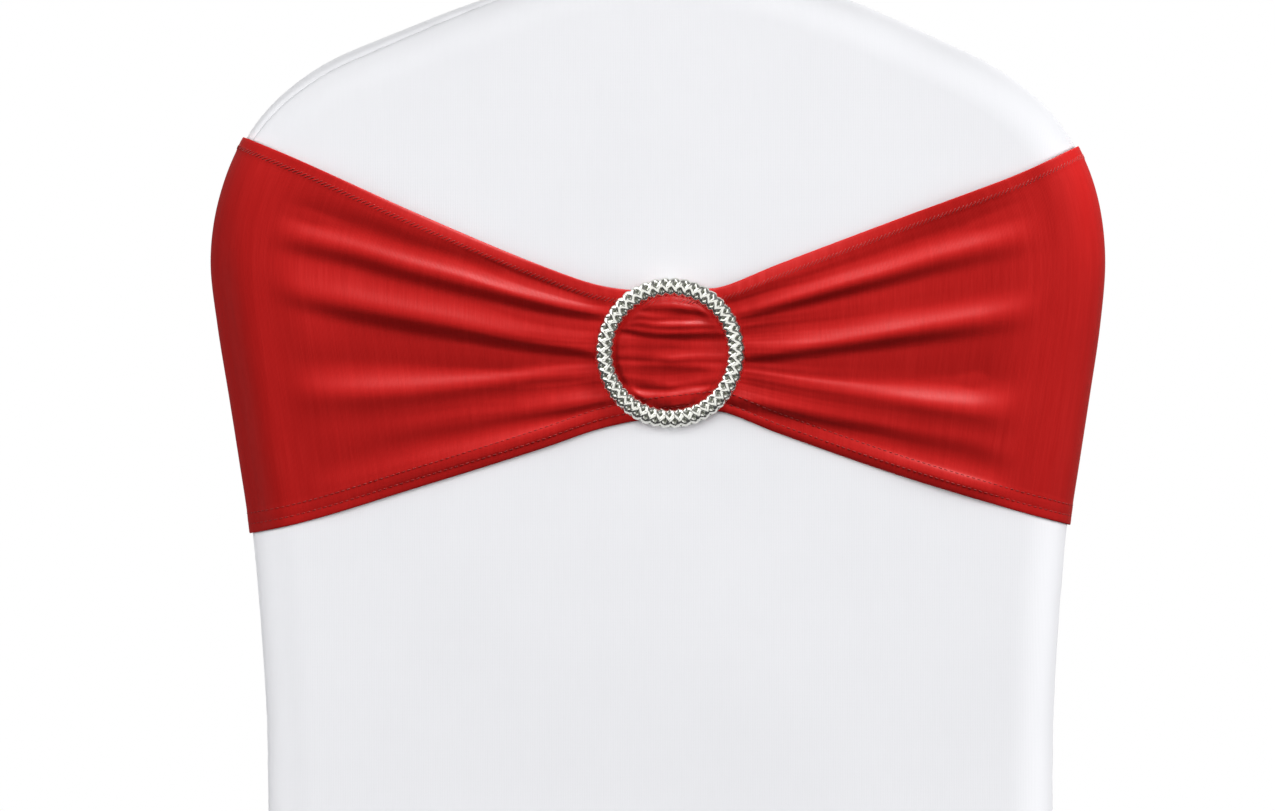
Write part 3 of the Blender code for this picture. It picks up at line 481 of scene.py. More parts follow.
def front_sections():
    """Sections round the back's edge from the inner face to the seam: rows of points by outline index."""
    sel = np.arange(I_LJ, I_RJ + 1)
    at, ain, r, ang = AT[sel], AT_IN[sel], AT_R[sel], AT_SEAM[sel]
    rows, uvs = [], []
    for a in ROLL_A:
        p = at + ain * (r * (1 - math.cos(a)))[:, None]
        rows.append(np.stack([p[:, 0], rear_y(p[:, 1]) + BACK_T - r * (1 - math.sin(a)), p[:, 1]], axis=1))
        uvs.append(at + ain * r[:, None] - ain * (r * (math.pi / 2 - a))[:, None])
    flat = BACK_T - 2 * r
    for run in side_runs(flat + r * ang):
        a = np.maximum(0.0, (run - flat) / r)
        p = at + ain * (r * (1 - np.cos(a)))[:, None]
        y = rear_y(p[:, 1]) + np.where(run <= flat, BACK_T - r - run, r * (1 - np.sin(a)))
        rows.append(np.stack([p[:, 0], y, p[:, 1]], axis=1))
        uvs.append(at + ain * r[:, None] - ain * (r * math.pi / 2 + run)[:, None])
    return np.array(rows), np.array(uvs)


def front_stations():
    tilt = math.atan(LEAN)
    y0, z0 = float(rear_y(JOIN_Z)) + BACK_T, JOIN_Z
    cy, cz = y0 + CREASE_R * math.cos(tilt), z0 + CREASE_R * math.sin(tilt)
    drop0 = BACK_T - BACK_ROLL
    half0 = (float(half_width(JOIN_Z, -1)), float(half_width(JOIN_Z, 1)))
    rows = []
    for k in range(1, N_CREASE + 1):
        t = k / N_CREASE
        a = tilt + (math.pi / 2 - tilt) * t
        e = float(ease(t))
        rows.append(dict(y=cy - CREASE_R * math.cos(a), z=cz - CREASE_R * math.sin(a), a=a,
                         half=[h + (SEAT_HALF_BACK - h) * e for h in half0],
                         r=BACK_ROLL + (LEG_ROLL - BACK_ROLL) * e, drop=drop0 + (SIDE_DROP - drop0) * e, t=0.0))
    ya, yb = cy, FRONT_Y - FRONT_R
    for k in range(1, N_SEAT + 1):
        t = k / N_SEAT
        half = SEAT_HALF_BACK + (SEAT_HALF_FRONT - SEAT_HALF_BACK) * t
        rows.append(dict(y=ya + (yb - ya) * t, z=SEAT_TOP, a=math.pi / 2, half=[half, half], r=LEG_ROLL,
                         drop=SIDE_DROP, t=t))
    end = math.atan(FRONT_SPLAY)
    for k in range(1, N_EDGE + 1):
        a = math.pi / 2 + (end - math.pi / 2) * k / N_EDGE
        rows.append(dict(y=yb + FRONT_R * math.cos(a), z=SEAT_TOP - FRONT_R + FRONT_R * math.sin(a), a=a,
                         half=[SEAT_HALF_FRONT] * 2, r=LEG_ROLL, drop=SIDE_DROP, t=1.0))
    last = rows[-1]
    for t in HEM_ROWS[1:]:
        z = last["z"] + (HEM_Z - last["z"]) * t
        half = SEAT_HALF_FRONT + (FOOT_HALF_FRONT - SEAT_HALF_FRONT) * t
        rows.append(dict(y=last["y"] + FRONT_SPLAY * (last["z"] - z), z=z, a=end, half=[half, half], r=LEG_ROLL,
                         drop=SIDE_DROP, t=1.0, skirt=t))
    return rows


def front_panel():
    s = Sheet("front_panel")
    sec, sec_uv = front_sections()
    first = I_LJ
    inner = sec[0][:, [0, 2]]
    left = inner[I_LT - first::-1]
    right = inner[I_RT - first:]
    top = inner[I_LT - first:I_RT + 1 - first]
    t = np.linspace(0, 1, N_CROWN + 1)[:, None]
    bottom = left[-1] * (1 - t) + right[-1] * t
    xz = tfi(left, right, top, bottom)
    x, z = xz[..., 0], xz[..., 1]
    patch = np.stack([x, rear_y(z) + BACK_T + inner_swell(x, z), z], axis=-1)
    nl = len(left)
    sec[0][:nl] = patch[::-1, 0]
    sec[0][nl - 1:len(inner) - nl + 1] = patch[0]
    sec[0][len(inner) - nl:] = patch[:, -1]
    s.grid(sec, sec_uv)
    s.grid(patch[:, ::-1], np.stack([x, z], axis=-1)[:, ::-1])
    left_sec, right_sec = sec[:, 0], sec[:, -1]
    rows = [np.vstack([left_sec[::-1], patch[-1, 1:-1], right_sec])]
    base_uv = np.concatenate([sec_uv[::-1, 0, 0], x[-1, 1:-1], sec_uv[:, -1, 0]])
    uv_rows, v_now = [np.stack([base_uv, np.full(len(base_uv), JOIN_Z)], axis=1)], JOIN_Z
    edges = {-1: [rows[0][0]], 1: [rows[0][-1]]}
    mid_before = None
    f = np.linspace(0, 1, N_CROWN + 1)
    for st in front_stations():
        ny, nz = math.cos(st["a"]), math.sin(st["a"])
        xs = -(st["half"][0] - st["r"]) * (1 - f) + (st["half"][1] - st["r"]) * f
        ys, zs = np.full(len(f), st["y"]), np.full(len(f), st["z"])
        if "skirt" in st:
            zs = st["z"] + (hem_z(f) - HEM_Z) * st["skirt"]
            ys = st["y"] - FRONT_SPLAY * (zs - st["z"])
        elif st["t"] > 0.0:
            zs = zs + SEAT_DOME * (1 - (2 * f - 1) ** 2) * math.sin(math.pi * min(1.0, st["t"]))
        line = np.stack([xs, ys, zs], axis=1)
        wing, wing_u = {}, {}
        for side in (-1, 1):
            h = st["half"][0 if side < 0 else 1]
            pts = [(h - st["r"] * (1 - math.cos(a)), st["r"] * (1 - math.sin(a)), st["r"] * (math.pi / 2 - a)) for a in ROLL_A[1:]]
            pts += [(h, st["r"] + float(run), st["r"] * math.pi / 2 + float(run)) for run in side_runs(st["drop"] - st["r"])]
            level = nz * (1.0 - st.get("skirt", 0.0))
            wing[side] = np.array([[side * px, st["y"] - ny * d, st["z"] - level * d] for px, d, _ in pts])
            wing_u[side] = np.array([side * (h - st["r"] + arc) for _, _, arc in pts])
        full = np.vstack([wing[-1][::-1], line, wing[1]])
        mid = line[len(line) // 2]
        if mid_before is None:
            mid_before = patch[-1, patch.shape[1] // 2]
        v_now -= float(np.linalg.norm(mid - mid_before))
        mid_before = mid
        u_row = np.concatenate([wing_u[-1][::-1], xs, wing_u[1]])
        rows.append(full)
        uv_rows.append(np.stack([u_row, np.full(len(u_row), v_now)], axis=1))
        edges[-1].append(full[0])
        edges[1].append(full[-1])
    rows, uv_rows = np.array(rows), np.array(uv_rows)
    s.grid(rows[:, ::-1], uv_rows[:, ::-1])
    s.hem = rows[-1][::-1]
    return s, {k: np.array(v) for k, v in edges.items()}


def side_panel(side, edge, rear_edge):
    s = Sheet("side_left" if side < 0 else "side_right")
    n_top = N_CREASE + N_SEAT + N_EDGE // 2
    top, front = edge[:n_top + 1], edge[n_top:]
    t = np.linspace(0, 1, 121)
    bottom = rear_edge[-1] * (1 - t)[:, None] + front[-1] * t[:, None]
    bottom[:, 2] = hem_z(t)
    bottom[0], bottom[-1] = rear_edge[-1], front[-1]
    lengths = [arc_fractions(e)[1] for e in (rear_edge, top)]
    near = NEAR_SEAM / lengths[1]
    us = np.concatenate([near[:-1], np.linspace(near[-1], 1 - near[-1], 98), (1 - near[::-1])[1:]])
    head = NEAR_SEAM / lengths[0]
    tail = 1 - NEAR_HEM[::-1] / lengths[0]
    vs = np.concatenate([head[:-1], np.linspace(head[-1], tail[0], 98)[:-1], tail])
    full = np.linspace(0, 1, 401)
    p = tfi(respace(rear_edge, full), respace(front, full), respace(top, full), respace(bottom, full), us, vs)
    uv = p[..., [1, 2]].copy()
    uv[..., 0] += 0.6 * side
    if side < 0:
        p, uv = p[:, ::-1], uv[:, ::-1]
    s.grid(p, uv)
    s.hem = p[-1]
    return s


class Seams:
    """Nearest sewn seam to a point, and the length along it."""

    def __init__(self, lines):
        pts, along, base = [], [], 0.0
        for line in lines:
            line = np.asarray(line, dtype=float)
            _, length = arc_fractions(line)
            t = np.linspace(0, 1, max(2, int(length / 0.0006)))
            pts.append(respace(line, t))
            along.append(base + t * length)
            base += length + 0.37
        self.pts, self.along = np.vstack(pts), np.concatenate(along)
        self.tree = KDTree(len(self.pts))
        for i, p in enumerate(self.pts):
            self.tree.insert(p, i)
        self.tree.balance()

    def near(self, points):
        d, run = np.empty(len(points)), np.empty(len(points))
        for i, p in enumerate(points):
            _, k, dist = self.tree.find(p)
            d[i], run[i] = dist, self.along[k]
        return d, run


def seam_lift(seams, points):
    """How far the cloth sinks into a seam and puckers beside it."""
    d, run = seams.near(points)
    n1, n2 = value_noise(run / 0.0042, 5, 2), value_noise(run / 0.011, 9, 2)
    sink = -(0.00062 + 0.00012 * n1) * np.exp(-(d / 0.00125) ** 2)
    swell = 0.00016 * np.exp(-((d - 0.0028) / 0.0018) ** 2)
    pucker = (0.00010 * n1 + 0.00010 * n2) * np.exp(-(d / 0.0075) ** 2) * (1 - np.exp(-(d / 0.0012) ** 2))
    return sink + swell + pucker, d


def cover_folds(points):
    """Soft creases of the taut cover, as heights along its normals, in metres."""
    x, y, z = points[:, 0], points[:, 1], points[:, 2]
    out = np.zeros(len(points))
    for (ax, ay, az), (bx, by, bz), height, half, seed in COVER_CREASES:
        a, b = np.array([ax, ay, az]), np.array([bx, by, bz])
        ab = b - a
        length = np.linalg.norm(ab)
        t = ((points - a) @ ab) / length ** 2
        near = a + np.clip(t, 0, 1)[:, None] * ab
        d = np.linalg.norm(points - near, axis=1)
        bend = 0.35 * half * MM * value_noise(np.clip(t, 0, 1) * 3.0, seed, 2)
        fade = ease((t + 0.02) / 0.30) * (1.0 - ease((t - 0.65) / 0.40))
        out += height * MM * fade * np.exp(-((d + bend) / (half * MM)) ** 2)
    return out


# start, end, height (mm), half width (mm), seed: drag lines above the feet and at the back of the seat
COVER_CREASES = []
for _s in (-1, 1):
    _k = 3 + _s
    COVER_CREASES += [
        # above the rear feet
        ((_s * 0.186, 0.000, -0.865), (_s * 0.150, 0.020, -0.640), 0.9, 7.0, 11 + _k),
        ((_s * 0.176, -0.002, -0.858), (_s * 0.105, 0.012, -0.700), -0.7, 6.0, 13 + _k),
        ((_s * 0.166, 0.000, -0.850), (_s * 0.080, 0.014, -0.745), 0.8, 5.5, 17 + _k),
        # above the front feet, on the front and side skirts
        ((_s * 0.194, 0.468, -0.862), (_s * 0.150, 0.460, -0.640), 0.9, 7.0, 19 + _k),
        ((_s * 0.182, 0.468, -0.856), (_s * 0.105, 0.463, -0.700), -0.7, 6.0, 23 + _k),
        ((_s * 0.170, 0.467, -0.850), (_s * 0.078, 0.464, -0.748), 0.8, 5.5, 29 + _k),
        ((_s * 0.205, 0.440, -0.860), (_s * 0.199, 0.375, -0.650), 0.9, 7.0, 31 + _k),
        ((_s * 0.204, 0.425, -0.855), (_s * 0.200, 0.310, -0.715), -0.7, 6.0, 37 + _k),
        ((_s * 0.198, 0.010, -0.860), (_s * 0.192, 0.085, -0.650), 0.9, 7.0, 41 + _k),
        ((_s * 0.199, 0.025, -0.855), (_s * 0.194, 0.140, -0.715), -0.7, 6.0, 43 + _k),
        # where the inner back turns into the seat
        ((_s * 0.172, 0.066, -0.418), (_s * 0.070, 0.073, -0.432), -1.2, 5.0, 47 + _k),
        ((_s * 0.170, 0.064, -0.400), (_s * 0.085, 0.064, -0.404), 0.8, 4.5, 53 + _k),
        ((_s * 0.172, 0.092, -0.446), (_s * 0.070, 0.100, -0.448), 0.9, 5.5, 59 + _k),
        ((_s * 0.170, 0.060, -0.375), (_s * 0.100, 0.060, -0.368), -0.5, 4.0, 61 + _k),
        # beside the seat's front corners
        ((_s * 0.196, 0.420, -0.452), (_s * 0.130, 0.380, -0.446), 0.6, 6.0, 67 + _k),
        ((_s * 0.199, 0.400, -0.480), (_s * 0.197, 0.300, -0.520), 0.6, 7.0, 71 + _k),
    ]


def panel_piece(s, seams, node):
    lift, d = seam_lift(seams, s.points)
    lift = lift + cover_folds(s.points)
    # hem: a double fold 15 mm deep, and the small ripples of its stitching
    hem_tree = KDTree(len(s.hem_dense))
    for i, p in enumerate(s.hem_dense):
        hem_tree.insert(p, i)
    hem_tree.balance()
    low = np.where(s.points[:, 2] < -0.74)[0]
    for i in low:
        _, k, dist = hem_tree.find(s.points[i])
        if dist < 0.03:
            run = s.hem_run[k]
            step = 0.00028 * (1.0 - float(ease((dist - 0.0150) / 0.0007)))
            edge = -0.00020 * math.exp(-(dist / 0.0005) ** 2)
            groove = -0.00012 * (math.exp(-((dist - 0.0120) / 0.0007) ** 2) + math.exp(-((dist - 0.0148) / 0.0006) ** 2))
            ripple = 0.00016 * math.sin(2 * math.pi * run / 0.0062 + 1.4 * math.sin(run * 90)) * math.exp(-((dist - 0.011) / 0.009) ** 2)
            lift[i] += step + edge + groove + ripple
    obj = blank_object(s.name, s.build(SKIN, lift))
    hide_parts(node)
    return obj


def dense_hem(s):
    _, length = arc_fractions(s.hem)
    t = np.linspace(0, 1, max(2, int(length / 0.0008)))
    s.hem_dense = respace(s.hem, t)
    s.hem_run = t * length


def sheet_area(points, quads):
    p = points
    return float(0.5 * np.linalg.norm(np.cross(p[quads[:, 2]] - p[quads[:, 0]], p[quads[:, 3]] - p[quads[:, 1]]), axis=1).sum())


# ------------------------------------------------------------------ stitches
def stitch_mesh(name, starts, ends, normals, radius, rise=0.00012, sink=0.00022):
    """Short thread loops that come out of the cloth and go back in."""
    starts, ends, normals = (np.asarray(a, dtype=float) for a in (starts, ends, normals))
    n = len(starts)
    along = ends - starts
    axis = along / np.maximum(np.linalg.norm(along, axis=1), 1e-9)[:, None]
    side = np.cross(axis, normals)
    side /= np.maximum(np.linalg.norm(side, axis=1), 1e-9)[:, None]
    up = np.cross(side, axis)
    sides = 5
    rings = []
    for t, h, k in ((0.0, -sink, 0.6), (0.16, rise * 0.7, 1.0), (0.5, rise, 1.08), (0.84, rise * 0.7, 1.0), (1.0, -sink, 0.6)):
        c = starts + along * t + up * h
        ring = [c + radius * k * (math.cos(2 * math.pi * j / sides) * side + math.sin(2 * math.pi * j / sides) * up)
                for j in range(sides)]
        rings.append(np.stack(ring, axis=1))
    verts = np.stack(rings, axis=1).reshape(n, -1, 3)
    per = verts.shape[1]
    quads = []
    for r in range(4):
        for j in range(sides):
            a, b = r * sides + j, r * sides + (j + 1) % sides
            quads.append((a, a + sides, b + sides, b))
    quads = np.array(quads)
    caps = np.array([list(range(sides)), [4 * sides + j for j in range(sides)][::-1]])
    base = (np.arange(n) * per)[:, None, None]
    mesh = mesh_from(name, verts.reshape(-1, 3), [(quads[None] + base).reshape(-1, 4), (caps[None] + base).reshape(-1, sides)])
    return blank_object(name, mesh)


def surface_tree(points, faces):
    from mathutils.bvhtree import BVHTree
    return BVHTree.FromPolygons([tuple(p) for p in points], [tuple(int(v) for v in f) for f in faces])


def onto(tree, points, normals):
    out, nn = np.array(points, dtype=float), np.array(normals, dtype=float)
    for i, p in enumerate(points):
        hit = tree.find_nearest(Vector(p), 0.02)
        if hit[0] is not None:
            n = np.array(hit[1])
            if n @ nn[i] < 0:
                n = -n
            out[i], nn[i] = hit[0], n
    return out, nn


def vertex_normals_along(line, tree, guess):
    pts, nn = onto(tree, line, guess)
    return pts, nn


def hem_stitches(s, distance, pitch, length, tree, phase=0.0):
    """One row of stitches at a distance above a panel's hem: starts, ends and normals."""
    _, total = arc_fractions(s.hem)
    count = int((total - 0.006) / pitch)
    mids = (np.arange(count) + 0.5 + phase) * pitch + 0.003
    centre = np.array([0.0, 0.22, 0.0])

    def at(run):
        p = respace(s.hem, run / total)
        q = respace(s.hem, np.clip((run + 0.001) / total, 0, 1))
        tan = q - p
        tan /= np.maximum(np.linalg.norm(tan, axis=1), 1e-9)[:, None]
        out = p - centre
        out[:, 2] = 0
        out /= np.linalg.norm(out, axis=1)[:, None]
        _, n = onto(tree, p, out)
        m = np.cross(n, tan)
        m *= np.sign(m[:, 2])[:, None]
        return onto(tree, p + m * distance, n)

    a, na = at(mids - length / 2)
    b, nb = at(mids + length / 2)
    return a, b, (na + nb) / 2


# ------------------------------------------------------------------ the sash
SASH_SKIN = 0.0008
SASH_MIN = 0.0016          # outer face of the sash off the cover where it is pulled tight
BUCKLE_UNDER = 0.0046      # underside of the buckle's ring off the cover
HEM_T = np.array([0.0, 0.22, 0.7, 1.6, 2.8, 4.0, 5.2, 6.1, 6.55, 6.95, 7.6]) * MM
HEM_B = np.array([0.0, 0.22, 0.7, 1.7, 2.9, 3.9, 4.2, 4.5, 5.4, 6.8, 8.2, 9.1, 9.4, 9.7, 10.4]) * MM
MID_ROWS = 104

# Fold lines of the outer face, top to bottom, each with points (x, depth, slope): how much the cloth comes forward for
# each millimetre down. A lit line is where it comes forward most, above a crest. A dark line is where it falls back
# most, under the crest, and from there it turns back to the slope "after" within a few millimetres.
# (side, points, after); the first and the last line of a side are the band's edges, with points (x, slope).
FOLDS = [
    (-1, [(-186, 0.0), (-170, -0.02), (-153, 0.03), (-131, 0.24), (-111, 0.38), (-90, 0.44), (-69, 0.42), (-52, 0.38), (-30, 0.26)], None),
    (-1, [(-186, 104.0, -0.03), (-170, 109.5, -0.15), (-153, 114.0, -0.24), (-131, 119.0, -0.31), (-111, 126.0, -0.33), (-90, 132.0, -0.33),
          (-69, 138.7, -0.26), (-52, 144.1, -0.24), (-36, 150.0, -0.20), (-30, 153.5, -0.15)], None),
    (-1, [(-186, 113.0, 0.05), (-170, 119.0, 0.20), (-153, 124.3, 0.36), (-131, 130.2, 0.44), (-111, 136.0, 0.52), (-90, 141.4, 0.58),
          (-69, 147.7, 0.64), (-52, 152.2, 0.66), (-36, 155.8, 0.58), (-30, 157.2, 0.44)], None),
    (-1, [(-186, 126.5, -0.08), (-170, 129.3, -0.24), (-153, 132.4, -0.36), (-131, 137.4, -0.42), (-111, 143.2, -0.44), (-90, 148.2, -0.50),
          (-69, 153.1, -0.54), (-52, 157.0, -0.54), (-36, 159.9, -0.46), (-30, 160.8, -0.40)], 0.06),
    (-1, [(-186, 139.0, 0.06), (-170, 143.2, 0.13), (-153, 148.6, 0.17), (-131, 152.2, 0.36), (-111, 156.7, 0.38), (-90, 160.8, 0.40),
          (-69, 166.2, 0.34), (-52, 168.2, 0.24), (-36, 171.0, 0.20), (-30, 170.5, 0.10)], None),
    (-1, [(-186, 150.0, -0.04), (-170, 152.7, -0.20), (-153, 156.7, -0.32), (-131, 161.2, -0.50), (-111, 164.8, -0.58), (-90, 168.4, -0.58),
          (-69, 172.1, -0.55), (-52, 174.8, -0.50), (-36, 177.0, -0.42), (-30, 178.8, -0.40)], -0.01),
    (-1, [(-186, 180.0, -0.02), (-170, 180.0, -0.12), (-153, 179.3, -0.15), (-131, 180.0, -0.13), (-111, 181.1, -0.10), (-90, 182.9, -0.13),
          (-69, 183.5, -0.16), (-52, 181.6, -0.10), (-36, 180.6, -0.06), (-30, 181.2, -0.06)], None),
    (-1, [(-186, 190.5, 0.0), (-170, 190.5, 0.06), (-153, 191.2, 0.22), (-131, 191.0, 0.48), (-111, 190.1, 0.54), (-90, 188.7, 0.56),
          (-69, 186.7, 0.54), (-52, 184.6, 0.52), (-36, 183.2, 0.40), (-30, 183.0, 0.30)], None),
    (-1, [(-186, 203.0, -0.02), (-170, 201.5, -0.11), (-153, 199.0, -0.18), (-131, 198.8, -0.27), (-111, 197.3, -0.28), (-90, 194.6, -0.28),
          (-69, 191.9, -0.26), (-52, 189.0, -0.18), (-36, 189.2, -0.12), (-30, 190.8, -0.14)], None),
    (-1, [(-186, 213.0, -0.01), (-170, 212.0, -0.06), (-153, 210.8, -0.05), (-131, 209.0, -0.02), (-111, 207.2, 0.04), (-90, 203.4, 0.08),
          (-69, 201.8, 0.18), (-52, 199.5, 0.36), (-36, 197.3, 0.46), (-30, 196.8, 0.34)], None),
    (-1, [(-186, 229.0, -0.01), (-170, 228.0, -0.07), (-153, 226.5, -0.10), (-131, 218.2, -0.14), (-111, 213.9, -0.21), (-90, 211.2, -0.22),
          (-69, 206.9, -0.24), (-52, 204.5, -0.32), (-36, 202.2, -0.48), (-30, 200.9, -0.48)], None),
    (-1, [(-186, 243.0, 0.0), (-170, 239.0, -0.02), (-153, 234.7, 0.04), (-131, 229.5, 0.12), (-111, 224.3, 0.26), (-90, 219.8, 0.38),
          (-69, 214.6, 0.50), (-52, 210.1, 0.54), (-36, 205.6, 0.36), (-30, 203.6, 0.26)], None),
    (-1, [(-186, 252.0, -0.02), (-170, 247.0, -0.08), (-153, 242.0, -0.11), (-131, 238.0, -0.14), (-111, 232.0, -0.18), (-90, 226.5, -0.20),
          (-69, 221.0, -0.24), (-52, 216.0, -0.22), (-36, 210.3, -0.18), (-30, 208.1, -0.14)], None),
    (-1, [(-186, 0.0), (-170, -0.05), (-111, -0.12), (-30, -0.12)], None),

    (1, [(38, 0.50), (45, 0.60), (60, 0.55), (77, 0.45), (99, 0.28), (119, 0.12), (141, 0.02), (161, 0.0)], None),
    (1, [(38, 151.8, -0.34), (45, 149.1, -0.30), (60, 144.0, -0.26), (77, 137.8, -0.24), (99, 130.2, -0.24),
         (119, 123.0, -0.23), (141, 115.8, -0.20), (161, 107.0, -0.12), (180, 98.0, -0.08)], None),
    (1, [(38, 157.2, 0.30), (45, 155.4, 0.40), (60, 150.9, 0.54), (77, 145.5, 0.62), (99, 139.6, 0.64),
         (119, 132.9, 0.62), (141, 127.5, 0.52), (161, 121.0, 0.16), (180, 111.0, 0.05)], None),
    (1, [(38, 161.2, -0.36), (45, 159.4, -0.44), (60, 155.4, -0.52), (77, 150.9, -0.54), (99, 145.5, -0.44),
         (119, 140.1, -0.36), (141, 135.1, -0.27), (161, 131.0, -0.09), (180, 125.0, -0.05)], 0.0),
    (1, [(38, 166.8, -0.28), (45, 165.4, -0.20), (60, 163.3, -0.10), (77, 162.0, -0.06), (99, 157.0, -0.03),
         (119, 154.5, -0.01), (141, 150.5, 0.0), (161, 147.0, 0.03), (180, 142.0, 0.0)], None),
    (1, [(38, 171.2, 0.16), (45, 173.0, 0.30), (60, 172.5, 0.48), (77, 170.3, 0.56), (99, 166.6, 0.64),
         (119, 162.6, 0.60), (141, 159.0, 0.56), (161, 154.5, 0.18), (180, 150.0, 0.04)], None),
    (1, [(38, 180.2, -0.42), (45, 179.7, -0.42), (60, 177.9, -0.50), (77, 175.7, -0.50), (99, 172.5, -0.54),
         (119, 169.8, -0.44), (141, 167.1, -0.30), (161, 164.4, -0.09), (180, 162.0, -0.05)], -0.03),
    (1, [(38, 182.6, 0.06), (45, 183.2, 0.06), (60, 185.3, -0.12), (77, 186.7, -0.16), (99, 187.0, -0.12),
         (119, 187.0, -0.11), (141, 187.0, -0.10), (161, 188.0, -0.04), (180, 188.0, -0.03)], None),
    (1, [(38, 184.2, 0.18), (45, 185.4, 0.24), (60, 187.8, 0.34), (77, 190.3, 0.42), (99, 193.7, 0.48),
         (119, 196.4, 0.64), (141, 198.2, 0.60), (161, 197.5, 0.12), (180, 197.0, 0.0)], None),
    (1, [(38, 188.6, -0.10), (45, 190.0, -0.16), (60, 192.6, -0.20), (77, 195.7, -0.22), (99, 199.4, -0.22),
         (119, 202.5, -0.25), (141, 206.3, -0.20), (161, 209.5, -0.09), (180, 210.0, -0.04)], None),
    (1, [(38, 196.2, 0.30), (45, 197.5, 0.28), (60, 200.4, 0.14), (77, 202.9, 0.06), (99, 207.0, 0.03),
         (119, 210.8, 0.04), (141, 214.4, 0.08), (161, 219.5, 0.01), (180, 222.0, 0.0)], None),
    (1, [(38, 200.6, -0.42), (45, 201.3, -0.46), (60, 204.9, -0.56), (77, 208.5, -0.46), (99, 212.1, -0.38),
         (119, 216.6, -0.29), (141, 220.7, -0.21), (161, 227.0, -0.12), (180, 232.0, -0.06)], -0.02),
    (1, [(38, 204.9, 0.04), (45, 205.8, 0.04), (60, 209.4, 0.12), (77, 214.8, 0.20), (99, 222.0, 0.28),
         (119, 227.9, 0.38), (141, 234.2, 0.44), (161, 239.0, 0.28), (180, 247.3, 0.12)], None),
    (1, [(38, 207.9, -0.30), (45, 210.0, -0.34), (60, 215.2, -0.34), (77, 220.6, -0.34), (99, 227.0, -0.32),
         (119, 232.8, -0.27), (141, 238.6, -0.20), (161, 243.0, -0.14), (180, 250.0, -0.08)], None),
    (1, [(38, -0.26), (99, -0.26), (180, -0.10)], None),
]
